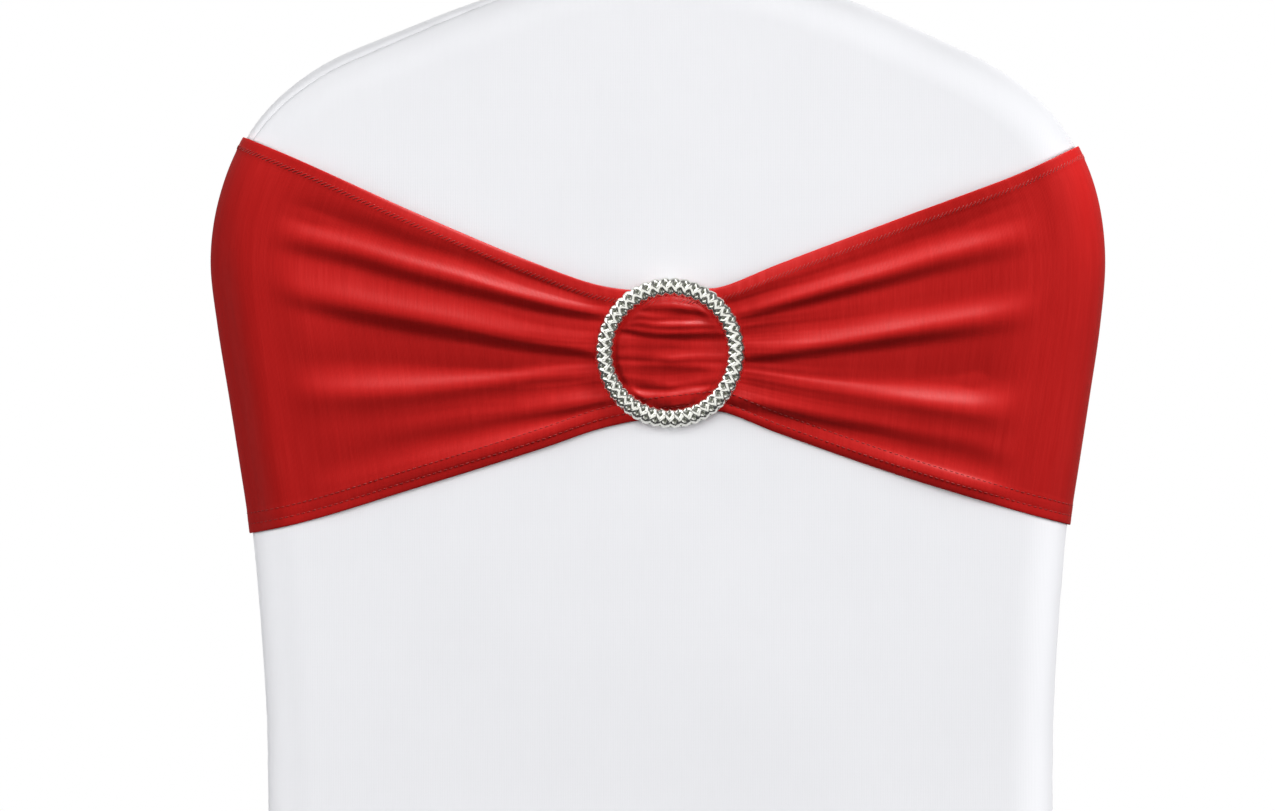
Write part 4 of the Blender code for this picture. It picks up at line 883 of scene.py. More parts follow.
# The same for the cloth seen through the buckle
INNER_FOLDS = [
    [(-16, 149.0, 0.0), (24, 149.0, 0.0)],
    [(-16, 157.5, 0.20), (-9.5, 155.5, 0.20), (-2.7, 154.2, 0.50), (4.5, 153.7, 0.75), (11.3, 154.7, 0.75), (17.6, 156.6, 0.20), (24, 159.0, 0.0)],
    [(-16, 160.5, -0.10), (-9.5, 157.4, -0.08), (-2.7, 157.4, -0.16), (4.5, 157.2, -0.22), (11.3, 158.4, -0.42), (17.6, 159.1, -0.46), (24, 161.0, -0.20)],
    [(-16, 161.5, 0.05), (-9.5, 159.0, 0.38), (-2.7, 160.2, 0.22), (4.5, 160.2, 0.06), (11.3, 160.8, 0.08), (17.6, 161.2, 0.16), (24, 162.4, 0.05)],
    [(-16, 162.6, -0.10), (-9.5, 160.8, -0.12), (-2.7, 162.0, -0.10), (4.5, 161.8, 0.02), (11.3, 162.0, 0.06), (17.6, 162.2, 0.25), (24, 163.2, -0.10)],
    [(-16, 163.8, 0.10), (-9.5, 162.6, 0.17), (-2.7, 163.6, 0.32), (4.5, 163.5, 0.62), (11.3, 163.4, 0.58), (17.6, 163.2, 0.60), (24, 164.2, 0.0)],
    [(-16, 164.7, -0.10), (-9.5, 164.4, -0.19), (-2.7, 165.6, -0.18), (4.5, 165.7, -0.20), (11.3, 165.6, -0.22), (17.6, 165.3, -0.18), (24, 165.4, -0.16)],
    [(-16, 165.6, 0.05), (-9.5, 166.2, 0.16), (-2.7, 167.2, 0.15), (4.5, 167.5, 0.22), (11.3, 167.3, 0.12), (17.6, 167.0, 0.16), (24, 167.0, 0.06)],
    [(-16, 166.8, -0.34), (-9.5, 168.4, -0.36), (-2.7, 169.4, -0.42), (4.5, 169.5, -0.48), (11.3, 169.4, -0.48), (17.6, 168.9, -0.46), (24, 168.9, -0.38)],
    [(-16, 169.6, 0.20), (-9.5, 170.6, 0.15), (-2.7, 171.4, 0.12), (4.5, 171.6, 0.15), (11.3, 171.8, 0.06), (17.6, 172.4, 0.14), (24, 172.4, 0.12)],
    [(-16, 174.2, -0.07), (-9.5, 173.9, -0.06), (-2.7, 174.2, -0.08), (4.5, 174.1, -0.06), (11.3, 175.3, 0.03), (17.6, 175.2, 0.02), (24, 175.0, 0.06)],
    [(-16, 177.0, 0.10), (-9.5, 177.2, 0.07), (-2.7, 177.9, 0.11), (4.5, 178.7, 0.36), (11.3, 178.0, 0.34), (17.6, 177.6, 0.26), (24, 177.9, 0.22)],
    [(-16, 179.3, -0.20), (-9.5, 179.8, -0.19), (-2.7, 180.2, -0.10), (4.5, 181.0, -0.10), (11.3, 180.6, -0.08), (17.6, 180.3, -0.11), (24, 180.6, -0.12)],
    [(-16, 181.3, 0.10), (-9.5, 181.6, 0.12), (-2.7, 181.7, 0.06), (4.5, 182.2, -0.02), (11.3, 182.1, 0.08), (17.6, 182.2, 0.18), (24, 182.4, 0.20)],
    [(-16, 183.8, -0.10), (-9.5, 183.8, -0.10), (-2.7, 183.5, -0.14), (4.5, 183.9, -0.16), (11.3, 184.2, -0.17), (17.6, 184.3, -0.19), (24, 185.2, 0.0)],
    [(-16, 187.0, 0.0), (-9.5, 188.2, 0.07), (-2.7, 189.4, 0.11), (4.5, 190.8, 0.27), (11.3, 189.6, 0.17), (17.6, 188.4, 0.21), (24, 187.8, 0.10)],
    [(-16, 190.0, -0.16), (-9.5, 192.3, -0.28), (-2.7, 192.5, -0.24), (4.5, 193.1, -0.14), (11.3, 191.3, 0.04), (17.6, 191.0, -0.13), (24, 190.5, -0.16)],
    [(-16, 192.4, 0.30), (-9.5, 195.0, 0.65), (-2.7, 195.4, 0.48), (4.5, 195.4, 0.60), (11.3, 194.2, 0.42), (17.6, 193.2, 0.54), (24, 192.0, 0.10)],
    [(-16, 196.0, -0.20), (-9.5, 197.8, -0.18), (-2.7, 198.3, -0.22), (4.5, 198.6, -0.24), (11.3, 197.7, -0.08), (17.6, 195.5, -0.14), (24, 194.0, -0.10)],
    [(-16, 199.0, 0.10), (-9.5, 200.2, 0.24), (-2.7, 200.6, 0.34), (4.5, 200.6, 0.30), (11.3, 199.6, 0.30), (17.6, 197.4, 0.20), (24, 197.0, 0.10)],
    [(-16, 202.5, -0.15), (24, 202.5, -0.15)],
    [(-16, 209.0, 0.0), (24, 209.0, 0.0)],
]


def sash_edge_z(x, k):
    xs, zs = column(SASH_EDGES, 0) * MM, TOP - column(SASH_EDGES, k) * MM
    curve = smooth_curve(np.stack([xs, zs], axis=1), 40)
    return np.interp(x, curve[:, 0], curve[:, 1])


def soften(values, steps):
    """Running average that keeps the ends."""
    for _ in range(steps):
        v = values.copy()
        v[1:-1] = 0.25 * values[:-2] + 0.5 * values[1:-1] + 0.25 * values[2:]
        values = v
    return values


FINE_X = np.linspace(-0.215, 0.215, 861)
FOLD_GAIN, INNER_GAIN = 1.06, 1.35


def fold_lines(side):
    """Share of the way down from the top edge and slope of every fold line of one side, over FINE_X."""
    top, bottom = sash_edge_z(FINE_X, 1), sash_edge_z(FINE_X, 2)
    height = (top - bottom) / MM
    vs, slopes = [], []
    own = [f for f in FOLDS if f[0] == side]
    for k, (_, points, after) in enumerate(own):
        pts = np.array(sorted(points), dtype=float)
        slope = soften(np.interp(FINE_X, pts[:, 0] * MM, pts[:, -1]), 60)
        if k in (0, len(own) - 1):
            v = np.full(len(FINE_X), 0.0 if k == 0 else 1.0)
        else:
            share = (sash_edge_z(pts[:, 0] * MM, 1) - (TOP - pts[:, 1] * MM)) / (
                sash_edge_z(pts[:, 0] * MM, 1) - sash_edge_z(pts[:, 0] * MM, 2))
            v = soften(np.interp(FINE_X, pts[:, 0] * MM, share), 60)
        if after is None:
            vs.append(v)
            slopes.append(slope)
            continue
        # a tucked crease: it turns in and out again within a few millimetres
        away = np.abs(FINE_X - RING_X) / MM
        vs += [v - (2.0 + 0.020 * away) / height, v, v + (1.9 + 0.018 * away) / height]
        slopes += [0.12 * slopes[-1], slope * (1.0 + 0.35 * ease((-slope - 0.25) / 0.2)), np.full(len(FINE_X), after)]
    vs, slopes = np.array(vs), np.array(slopes)
    for k in range(1, len(vs)):
        vs[k] = np.maximum(vs[k], vs[k - 1] + 0.008)
    vs[-1] = 1.0
    for k in range(len(vs) - 2, 0, -1):
        vs[k] = np.minimum(vs[k], vs[k + 1] - 0.008)
    return vs, slopes, height


def heights_from(places, where, slope):
    """Height at places down a column, from the slopes at its lines: even on the whole, and zero at its lowest."""
    step = np.diff(where)
    mean = ((slope[1:] + slope[:-1]) / 2 * step).sum() / (where[-1] - where[0])
    slope = slope - mean
    at = np.concatenate([[0.0], np.cumsum((slope[1:] + slope[:-1]) / 2 * step)])
    k = np.clip(np.searchsorted(where, places, side="right") - 1, 0, len(where) - 2)
    t = np.clip(places - where[k], 0.0, step[k])
    return at[k] + slope[k] * t + (slope[k + 1] - slope[k]) * t * t / (2 * step[k]), at


LINES = {side: fold_lines(side) for side in (-1, 1)}


def fan_height(x, v):
    """Height in mm of the fans' folds at columns x (one for each) and shares v (rows by columns)."""
    out = {}
    for side in (-1, 1):
        vs, slopes, height = LINES[side]
        block, base = np.empty(v.shape), np.empty(v.shape[1])
        for c in range(v.shape[1]):
            tall = np.interp(x[c], FINE_X, height)
            vk = np.array([np.interp(x[c], FINE_X, row) for row in vs])
            sk = np.array([np.interp(x[c], FINE_X, row) for row in slopes])
            block[:, c], at = heights_from(v[:, c] * tall, vk * tall, FOLD_GAIN * sk)
            base[c] = -at.min()
        block += soften(base, 40)[None, :] + 0.1
        for _ in range(2):                      # rounds the folds by about a row
            block[1:-1] = 0.25 * block[:-2] + 0.5 * block[1:-1] + 0.25 * block[2:]
        out[side] = block
    w = ease((x - RING_X + 0.012) / 0.024)[None, :]
    big = out[-1] * (1 - w) + out[1] * w
    # small radiating wrinkles between the main folds
    q = (np.abs(x - RING_X) - 0.024) / 0.140
    live = (1.0 - ease((q - 0.15) / 0.95))[None, :]
    side = np.where(x < RING_X, 0.0, 40.0)[None, :]
    drift = 0.6 * value_noise(x / 0.050 + side[0], 3, 2)[None, :]
    small = 0.10 * value_noise(v * 21.0 + side + drift, 21, 2) + 0.05 * value_noise(v * 47.0 + 1.7 * side + drift, 22, 2)
    return big + small * live * (0.25 + 0.75 * live)


def inner_height(x, depth):
    """Height in mm of the cloth inside the buckle; depth in mm, rows by columns."""
    block, base = np.empty(depth.shape), np.empty(depth.shape[1])
    tables = [np.array(line, dtype=float) for line in INNER_FOLDS]
    for c in range(depth.shape[1]):
        at_x = np.clip(x[c] / MM, -16.0, 24.0)
        where = np.array([np.interp(at_x, t[:, 0], t[:, 1]) for t in tables])
        where = np.maximum.accumulate(where + np.arange(len(where)) * 1e-3)
        slope = np.array([np.interp(at_x, t[:, 0], t[:, 2]) for t in tables])
        block[:, c], at = heights_from(depth[:, c], where, INNER_GAIN * slope)
    block += 2.2
    for _ in range(3):                          # the lines run smoothly from side to side
        block[:, 1:-1] = 0.25 * block[:, :-2] + 0.5 * block[:, 1:-1] + 0.25 * block[:, 2:]
    xx = np.broadcast_to(x[None, :], depth.shape)
    fine = 0.05 * value_noise(depth / 2.1 + 0.5 * value_noise(xx / 0.02, 31, 1), 32, 2)
    return block + fine


def face_offset(x, z, v):
    """Stand-off of the sash's outer face from the cover, rows by columns; x is one value for each column
    only in the middle, so the columns' own mean x places the folds."""
    xm = x.mean(axis=0)
    fan = fan_height(xm, v) * MM + SASH_MIN
    depth = (TOP - z) / MM
    r = np.hypot(x - RING_X, z - RING_Z)
    inside = inner_height(xm, depth) * MM + SASH_MIN
    w = ease((r - 0.0258) / 0.0062)
    h = inside * (1 - w) + fan * w
    # under the ring the folds are squeezed flat
    floor, roof = SASH_MIN + 0.0002, BUCKLE_UNDER - 0.0002
    press = ease((r - 0.0232) / 0.0020) * (1.0 - ease((r - (RING_OUT - 0.0002)) / 0.0050))
    squeezed = floor + (roof - floor) * (1.0 - np.exp(-np.maximum(h - floor, 0.0) / (0.9 * (roof - floor))))
    h = h * (1 - press) + squeezed * press
    under = (r > RING_IN - 0.0006) & (r < RING_OUT + 0.0006)
    h = np.where(under, np.minimum(h, roof), h)
    bar = 1.0 - ease((np.abs(x - RING_X) - 0.0030) / 0.006)
    h = np.maximum(h, 0.0034 * bar * (np.abs(z - RING_Z) < 0.036))
    return np.maximum(h, SASH_MIN)


def find_x(z_of, target, side):
    """Where rows of the sash reach given distances inside the outline (rows by angles)."""
    lo, hi = np.full(target.shape, side * 0.100), np.full(target.shape, side * 0.215)
    for _ in range(30):
        mid = (lo + hi) / 2
        inside = inset_depth(mid, z_of(mid)) > target
        lo, hi = np.where(inside, mid, lo), np.where(inside, hi, mid)
    return (lo + hi) / 2


def build_sash():
    n_t, n_b = len(HEM_T), len(HEM_B)
    share = np.linspace(0, 1, MID_ROWS + 2)[1:-1]
    rows_total = n_t + MID_ROWS + n_b

    def row_depths(height):
        """Distance below the top edge of every row, for columns of a given height."""
        height = np.asarray(height, dtype=float)
        top = HEM_T[:, None] * np.ones_like(height)[None]
        mid = HEM_T[-1] + (height[None] - HEM_T[-1] - HEM_B[-1]) * share[:, None]
        low = height[None] - HEM_B[::-1][:, None]
        return np.vstack([top, mid, low])

    def z_of(x):
        """Height of every row at x (rows by columns)."""
        top, bottom = sash_edge_z(x, 1), sash_edge_z(x, 2)
        out = np.empty_like(x)
        height = top - bottom
        out[:n_t] = top[:n_t] - HEM_T[:, None]
        mid = slice(n_t, n_t + MID_ROWS)
        out[mid] = top[mid] - (HEM_T[-1] + (height[mid] - HEM_T[-1] - HEM_B[-1]) * share[:, None])
        out[n_t + MID_ROWS:] = bottom[n_t + MID_ROWS:] + HEM_B[::-1][:, None]
        return out

    parts = {}
    n_roll = 13
    angles = np.linspace(math.pi / 2, 0.0, n_roll + 1)
    for side in (-1, 1):
        target = np.tile(BACK_ROLL - (BACK_ROLL + SASH_MIN) * np.cos(angles), (rows_total, 1))
        target[:, 0] = BACK_ROLL
        xs = find_x(z_of, target, side)
        zs = z_of(xs)
        rear = np.stack([xs, rear_y(zs) + BACK_ROLL - (BACK_ROLL + SASH_MIN) * np.sin(angles)[None], zs], axis=-1)
        front = np.stack([xs, rear_y(zs) + BACK_T - BACK_ROLL + (BACK_ROLL + SASH_MIN) * np.sin(angles)[None], zs], axis=-1)
        parts[side] = (rear, front[:, ::-1])
    x0, x1 = parts[-1][0][:, 0, 0], parts[1][0][:, 0, 0]
    xa, xb = RING_X - 0.042, RING_X + 0.042
    f = np.linspace(0, 1, 71)[1:-1]
    across = np.concatenate([x0[:, None] + (xa - x0[:, None]) * f[None] ** 0.92,
                             np.tile(np.linspace(xa, xb, 85), (rows_total, 1)),
                             xb + (x1[:, None] - xb) * f[None] ** 1.08], axis=1)
    zs = z_of(across)
    top, bottom = sash_edge_z(across, 1), sash_edge_z(across, 2)
    v = (top - zs) / (top - bottom)
    off = face_offset(across, zs, v)
    # the folds die out before the roll, where the cloth is pulled tight round the edge
    tight = ease((np.minimum(across - x0[:, None], x1[:, None] - across) - 0.001) / 0.019)
    off = SASH_MIN + (off - SASH_MIN) * tight
    face = np.stack([across, rear_y(zs) - rear_swell(across, zs) - off, zs], axis=-1)

    a, b = parts[-1][1][:, -1], parts[1][1][:, -1]
    t = np.linspace(0, 1, 65)[1:-1]
    x = b[:, :1] * (1 - t) + a[:, :1] * t
    edge_z = b[:, 2:] * (1 - t) + a[:, 2:] * t
    height = BAND_BOTTOM - BAND_TOP
    mid_z = TOP - BAND_TOP - row_depths(np.full(1, height))[:, 0]
    z = edge_z + (mid_z - (a[:, 2] + b[:, 2]) / 2)[:, None] * (1 - (2 * t - 1) ** 2)
    vv = (z[:1] - z) / (z[:1] - z[-1:])
    # long, shallow tension folds of the plain side
    pull = np.sin(math.pi * t)[None]
    soft = (0.55 * np.exp(-((vv - 0.30 - 0.05 * t) / 0.045) ** 2) * ease((t - 0.35) / 0.3)
            + 0.65 * np.exp(-((vv - 0.62 + 0.06 * t) / 0.050) ** 2) * (1 - ease((t - 0.35) / 0.4))
            + 0.45 * np.exp(-((vv - 0.80) / 0.035) ** 2) * np.sin(math.pi * t)
            - 0.30 * np.exp(-((vv - 0.45 + 0.04 * t) / 0.030) ** 2) * np.sin(math.pi * t)) * MM
    y = rear_y(z) + BACK_T + inner_swell(x, z) + SASH_MIN + 0.0008 * pull + soft * ease(pull / 0.5)
    inner = np.stack([x, y, z], axis=-1)

    grid = np.concatenate([parts[-1][0][:, ::-1], face, parts[1][0], parts[1][1], inner, parts[-1][1][:, ::-1]], axis=1)
    face_cols = (n_roll + 1, n_roll + 1 + face.shape[1])
    step = np.linalg.norm(np.diff(grid[rows_total // 2], axis=0), axis=1)
    u = np.concatenate([[0.0], np.cumsum(step)])
    return grid, u, face_cols, n_t, n_b


def sash_piece():
    grid, u, face_cols, n_t, n_b = build_sash()
    rows, cols = grid.shape[:2]
    s = Sheet("sash")
    ring = np.concatenate([grid, grid[:, :1]], axis=1)
    total_u = u[-1] + np.linalg.norm(grid[rows // 2, 0] - grid[rows // 2, -1])
    # cloth coordinates: the full width of the band shows the same number of wales everywhere
    dist_top = np.concatenate([HEM_T, np.full(rows - n_t, np.nan)])
    width = 0.176
    vrow = np.empty(rows)
    vrow[:n_t] = width - HEM_T
    vrow[rows - n_b:] = HEM_B[::-1]
    vrow[n_t - 1:rows - n_b + 1] = np.linspace(width - HEM_T[-1], HEM_B[-1], rows - n_t - n_b + 2)
    uu = np.concatenate([u, [total_u]])
    uv = np.stack(np.meshgrid(uu, vrow), axis=-1)
    row_id = np.tile(np.arange(rows)[:, None], (1, cols + 1)).astype(float)
    s.grid(ring, uv)
    s.join()
    # hem heights: doubled cloth with a step at its inner line, and grooves at the stitch lines
    run = s.uv[:, 0]
    dt, db = width - s.uv[:, 1], s.uv[:, 1]
    hem = 0.00010 * (1 - ease((dt - 0.00655) / 0.0009)) + 0.00012 * (1 - ease((db - 0.0094) / 0.0009))
    groove = -0.00010 * (np.exp(-((db - 0.0042) / 0.0004) ** 2) + np.exp(-((db - 0.0092) / 0.0004) ** 2))
    groove += -0.00007 * np.exp(-((dt - 0.0062) / 0.0005) ** 2)
    ripple = 0.00009 * np.sin(2 * math.pi * run / 0.0058 + 2.0 * value_noise(run / 0.03, 55, 1)) * (
        np.exp(-((dt - 0.0030) / 0.0030) ** 2) + np.exp(-((db - 0.0046) / 0.0040) ** 2))
    rim = -0.00016 * (np.exp(-(dt / 0.0003) ** 2) + np.exp(-(db / 0.0003) ** 2))
    lift = hem + groove + ripple + rim
    obj = blank_object("sash", s.build(SASH_SKIN, lift))
    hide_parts("sash_band")
    outer = s.outer
    keys = {}
    # the outer points laid out as the grid again, for the stitches
    _, first, back = np.unique(np.round(ring.reshape(-1, 3) / 2e-6).astype(np.int64), axis=0, return_index=True, return_inverse=True)
    laid = outer[back.ravel()].reshape(ring.shape)
    return obj, s, laid, uu, vrow


def on_sheet(laid, uu, vrow, run, from_bottom):
    """Points and normals of the laid grid at lengths along it and heights above the bottom edge, in cloth terms."""
    order = vrow[::-1]
    rowf = len(vrow) - 1 - np.interp(from_bottom, order, np.arange(len(vrow)))
    colf = np.interp(np.mod(run, uu[-1]), uu, np.arange(len(uu)))

    def read(rf, cf):
        rf, cf = np.clip(rf, 0, laid.shape[0] - 1.001), np.clip(cf, 0, laid.shape[1] - 1.001)
        r0, c0 = rf.astype(int), cf.astype(int)
        a, b = (rf - r0)[:, None], (cf - c0)[:, None]
        return (laid[r0, c0] * (1 - a) * (1 - b) + laid[r0 + 1, c0] * a * (1 - b)
                + laid[r0, c0 + 1] * (1 - a) * b + laid[r0 + 1, c0 + 1] * a * b)

    p = read(rowf, colf)
    down = read(rowf + 0.5, colf) - read(rowf - 0.5, colf)
    right = read(rowf, colf + 0.5) - read(rowf, colf - 0.5)
    n = np.cross(down, right)
    n /= np.maximum(np.linalg.norm(n, axis=1), 1e-12)[:, None]
    return p, n


def sash_stitches(laid, uu, vrow):
    width, total = vrow[0], uu[-1]
    # slanting stitches that hold the top hem
    pitch = 0.0019
    run = np.arange(int(total / pitch)) * pitch
    a, na = on_sheet(laid, uu, vrow, run, np.full(len(run), width - 0.0068))
    b, nb = on_sheet(laid, uu, vrow, run + 0.0026, np.full(len(run), width - 0.0044))
    top = stitch_mesh("sash_top_stitches", a, b, (na + nb) / 2, 0.00017)
    # two straight lines along the bottom hem
    pitch = 0.0027
    run = np.arange(int(total / pitch)) * pitch
    starts, ends, normals = [], [], []
    for height, phase in ((0.0042, 0.0), (0.0092, 0.5)):
        a, na = on_sheet(laid, uu, vrow, run + phase * pitch, np.full(len(run), height))
        b, nb = on_sheet(laid, uu, vrow, run + phase * pitch + 0.0020, np.full(len(run), height))
        starts.append(a)
        ends.append(b)
        normals.append((na + nb) / 2)
    low = stitch_mesh("sash_bottom_stitches", np.vstack(starts), np.vstack(ends), np.vstack(normals), 0.00016)
    return top, low


# ------------------------------------------------------------------ the buckle
def buckle_piece():
    tilt = math.atan(LEAN)
    face_y = float(rear_y(RING_Z)) - float(rear_swell(RING_X, RING_Z))
    mid_r, half = (RING_OUT + RING_IN) / 2, (RING_OUT - RING_IN) / 2 - 0.00035
    wall, crest, amp, periods, around, across = 0.0062, 0.0034, 0.00120, 44, 1056, 36

    # section: domed face, short side walls with rounded feet, flat back
    phi = np.linspace(-math.pi / 2, math.pi / 2, across + 1)
    fr, fo = mid_r + half * np.sin(phi), wall + crest * np.abs(np.cos(phi)) ** 0.86 - 0.0004
    slope_r, slope_o = np.gradient(fr), np.gradient(fo)
    nr, no = -slope_o, slope_r
    size = np.hypot(nr, no)
    nr, no = nr / size, no / size
    nr[0], no[0], nr[-1], no[-1] = -1.0, 0.15, 1.0, 0.15
    length = np.concatenate([[0.0], np.cumsum(np.hypot(np.diff(fr), np.diff(fo)))])
    s = 2 * length / length[-1] - 1
    low = BUCKLE_UNDER
    # from the outer edge of the face, down the wall, along the back, up the inner wall
    wr = [mid_r + half - 0.0001, mid_r + half - 0.0001, mid_r + half - 0.0005, mid_r + half * 0.5, mid_r,
          mid_r - half * 0.5, mid_r - half + 0.0005, mid_r - half + 0.0001, mid_r - half + 0.0001]
    wo = [wall - 0.0007, low + 0.0004, low, low, low, low, low, low + 0.0004, wall - 0.0007]
    theta = np.arange(around) * 2 * math.pi / around
    a = periods * theta[:, None]
    b = 1.5 * math.pi * (1.0 + s[None] * (1.35 - 0.35 * s[None] ** 2))

    def strand(angle):
        """Round back of a strand across its pitch: 1 on the crest, 0 in the groove."""
        off = np.abs((angle + math.pi) % (2 * math.pi) - math.pi) / (0.84 * math.pi)
        return np.sqrt(np.maximum(1.0 - off ** 2, 0.0))

    weave = 0.10 * np.cos(a)
    f1, f2 = strand(a + b) + weave, strand(a - b) - weave
    lattice = np.maximum(f1, f2)
    fade = 1.0 - 0.25 * np.abs(s[None]) ** 8
    height = amp * (lattice - 0.66) * fade
    radius = fr[None] + nr[None] * height
    stand = fo[None] + no[None] * height
    # painted shade: this mask is 1 deep in the grooves between the strands and 0 on the crests, and darkens the
    # plating's colour there
    pit = np.clip(1.35 - 1.45 * lattice, 0.0, 1.0)
    m = across + 1 + len(wr)
    rr = np.concatenate([radius, np.tile(np.array(wr)[None], (around, 1))], axis=1)
    oo = np.concatenate([stand, np.tile(np.array(wo)[None], (around, 1))], axis=1)
    # the side walls and the back get a little painted shade as well
    pp = np.concatenate([pit, np.tile(np.full(len(wr), 0.30)[None], (around, 1))], axis=1)
    x, up = rr * np.cos(theta)[:, None], rr * np.sin(theta)[:, None]
    # the ring leans back a little on the gathers, so its wall shows along the bottom
    sag = 0.0009 * (1.0 - np.clip(oo / wall, 0.0, 1.3))
    verts = np.stack([RING_X + x, face_y - oo * math.cos(tilt) - up * math.sin(tilt), RING_Z + up * math.cos(tilt) - sag], axis=-1)
    idx = np.arange(around * m).reshape(around, m)
    nxt = np.roll(idx, -1, axis=0)
    quads = np.stack([idx, np.roll(idx, -1, axis=1), np.roll(nxt, -1, axis=1), nxt], axis=-1).reshape(-1, 4)
    verts, pit_shades = verts.reshape(-1, 3), pp.reshape(-1)

    # the bar behind the cloth, on two short posts, with rounded edges
    up, post, base, top, hw, c = 0.0326, 0.0302, 0.0006, 0.0052, 0.0019, 0.0003
    outline = [(-up, base), (up, base), (up, top), (post, top), (post, 0.0018), (-post, 0.0018), (-post, top), (-up, top)]
    rings = []
    for xs, shrink in ((-hw, c), (-hw + c, 0.0), (hw - c, 0.0), (hw, c)):
        ring = []
        k = len(outline)
        for j in range(k):
            p, q, n2 = (np.array(outline[(j + d) % k]) for d in (-1, 0, 1))
            e1, e2 = (q - p) / np.linalg.norm(q - p), (n2 - q) / np.linalg.norm(n2 - q)
            n1, n3 = np.array([-e1[1], e1[0]]), np.array([-e2[1], e2[0]])
            ring.append(q + shrink * (n1 + n3))
        rings.append((xs, ring))
    bar_v = []
    for xs, ring in rings:
        for uu, oo2 in ring:
            bar_v.append((RING_X + xs, face_y - oo2 * math.cos(tilt) - uu * math.sin(tilt), RING_Z + uu * math.cos(tilt)))
    k = len(outline)
    base_i = len(verts)
    bar_f = []
    for level in range(3):
        for j in range(k):
            a0, b0 = base_i + level * k + j, base_i + level * k + (j + 1) % k
            bar_f.append((b0, a0, a0 + k, b0 + k))
    ends = np.array([[base_i + j for j in range(k)], [base_i + 3 * k + j for j in range(k)][::-1]])
    verts = np.vstack([verts, bar_v])
    # the bar gets a little painted shade too
    pit_shades = np.concatenate([pit_shades, np.full(len(bar_v), 0.25)])
    mesh = mesh_from("buckle", verts, [quads, np.array(bar_f), ends], attributes={"pit": pit_shades})
    obj = blank_object("buckle", mesh)
    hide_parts("buckle_ring")
    return obj


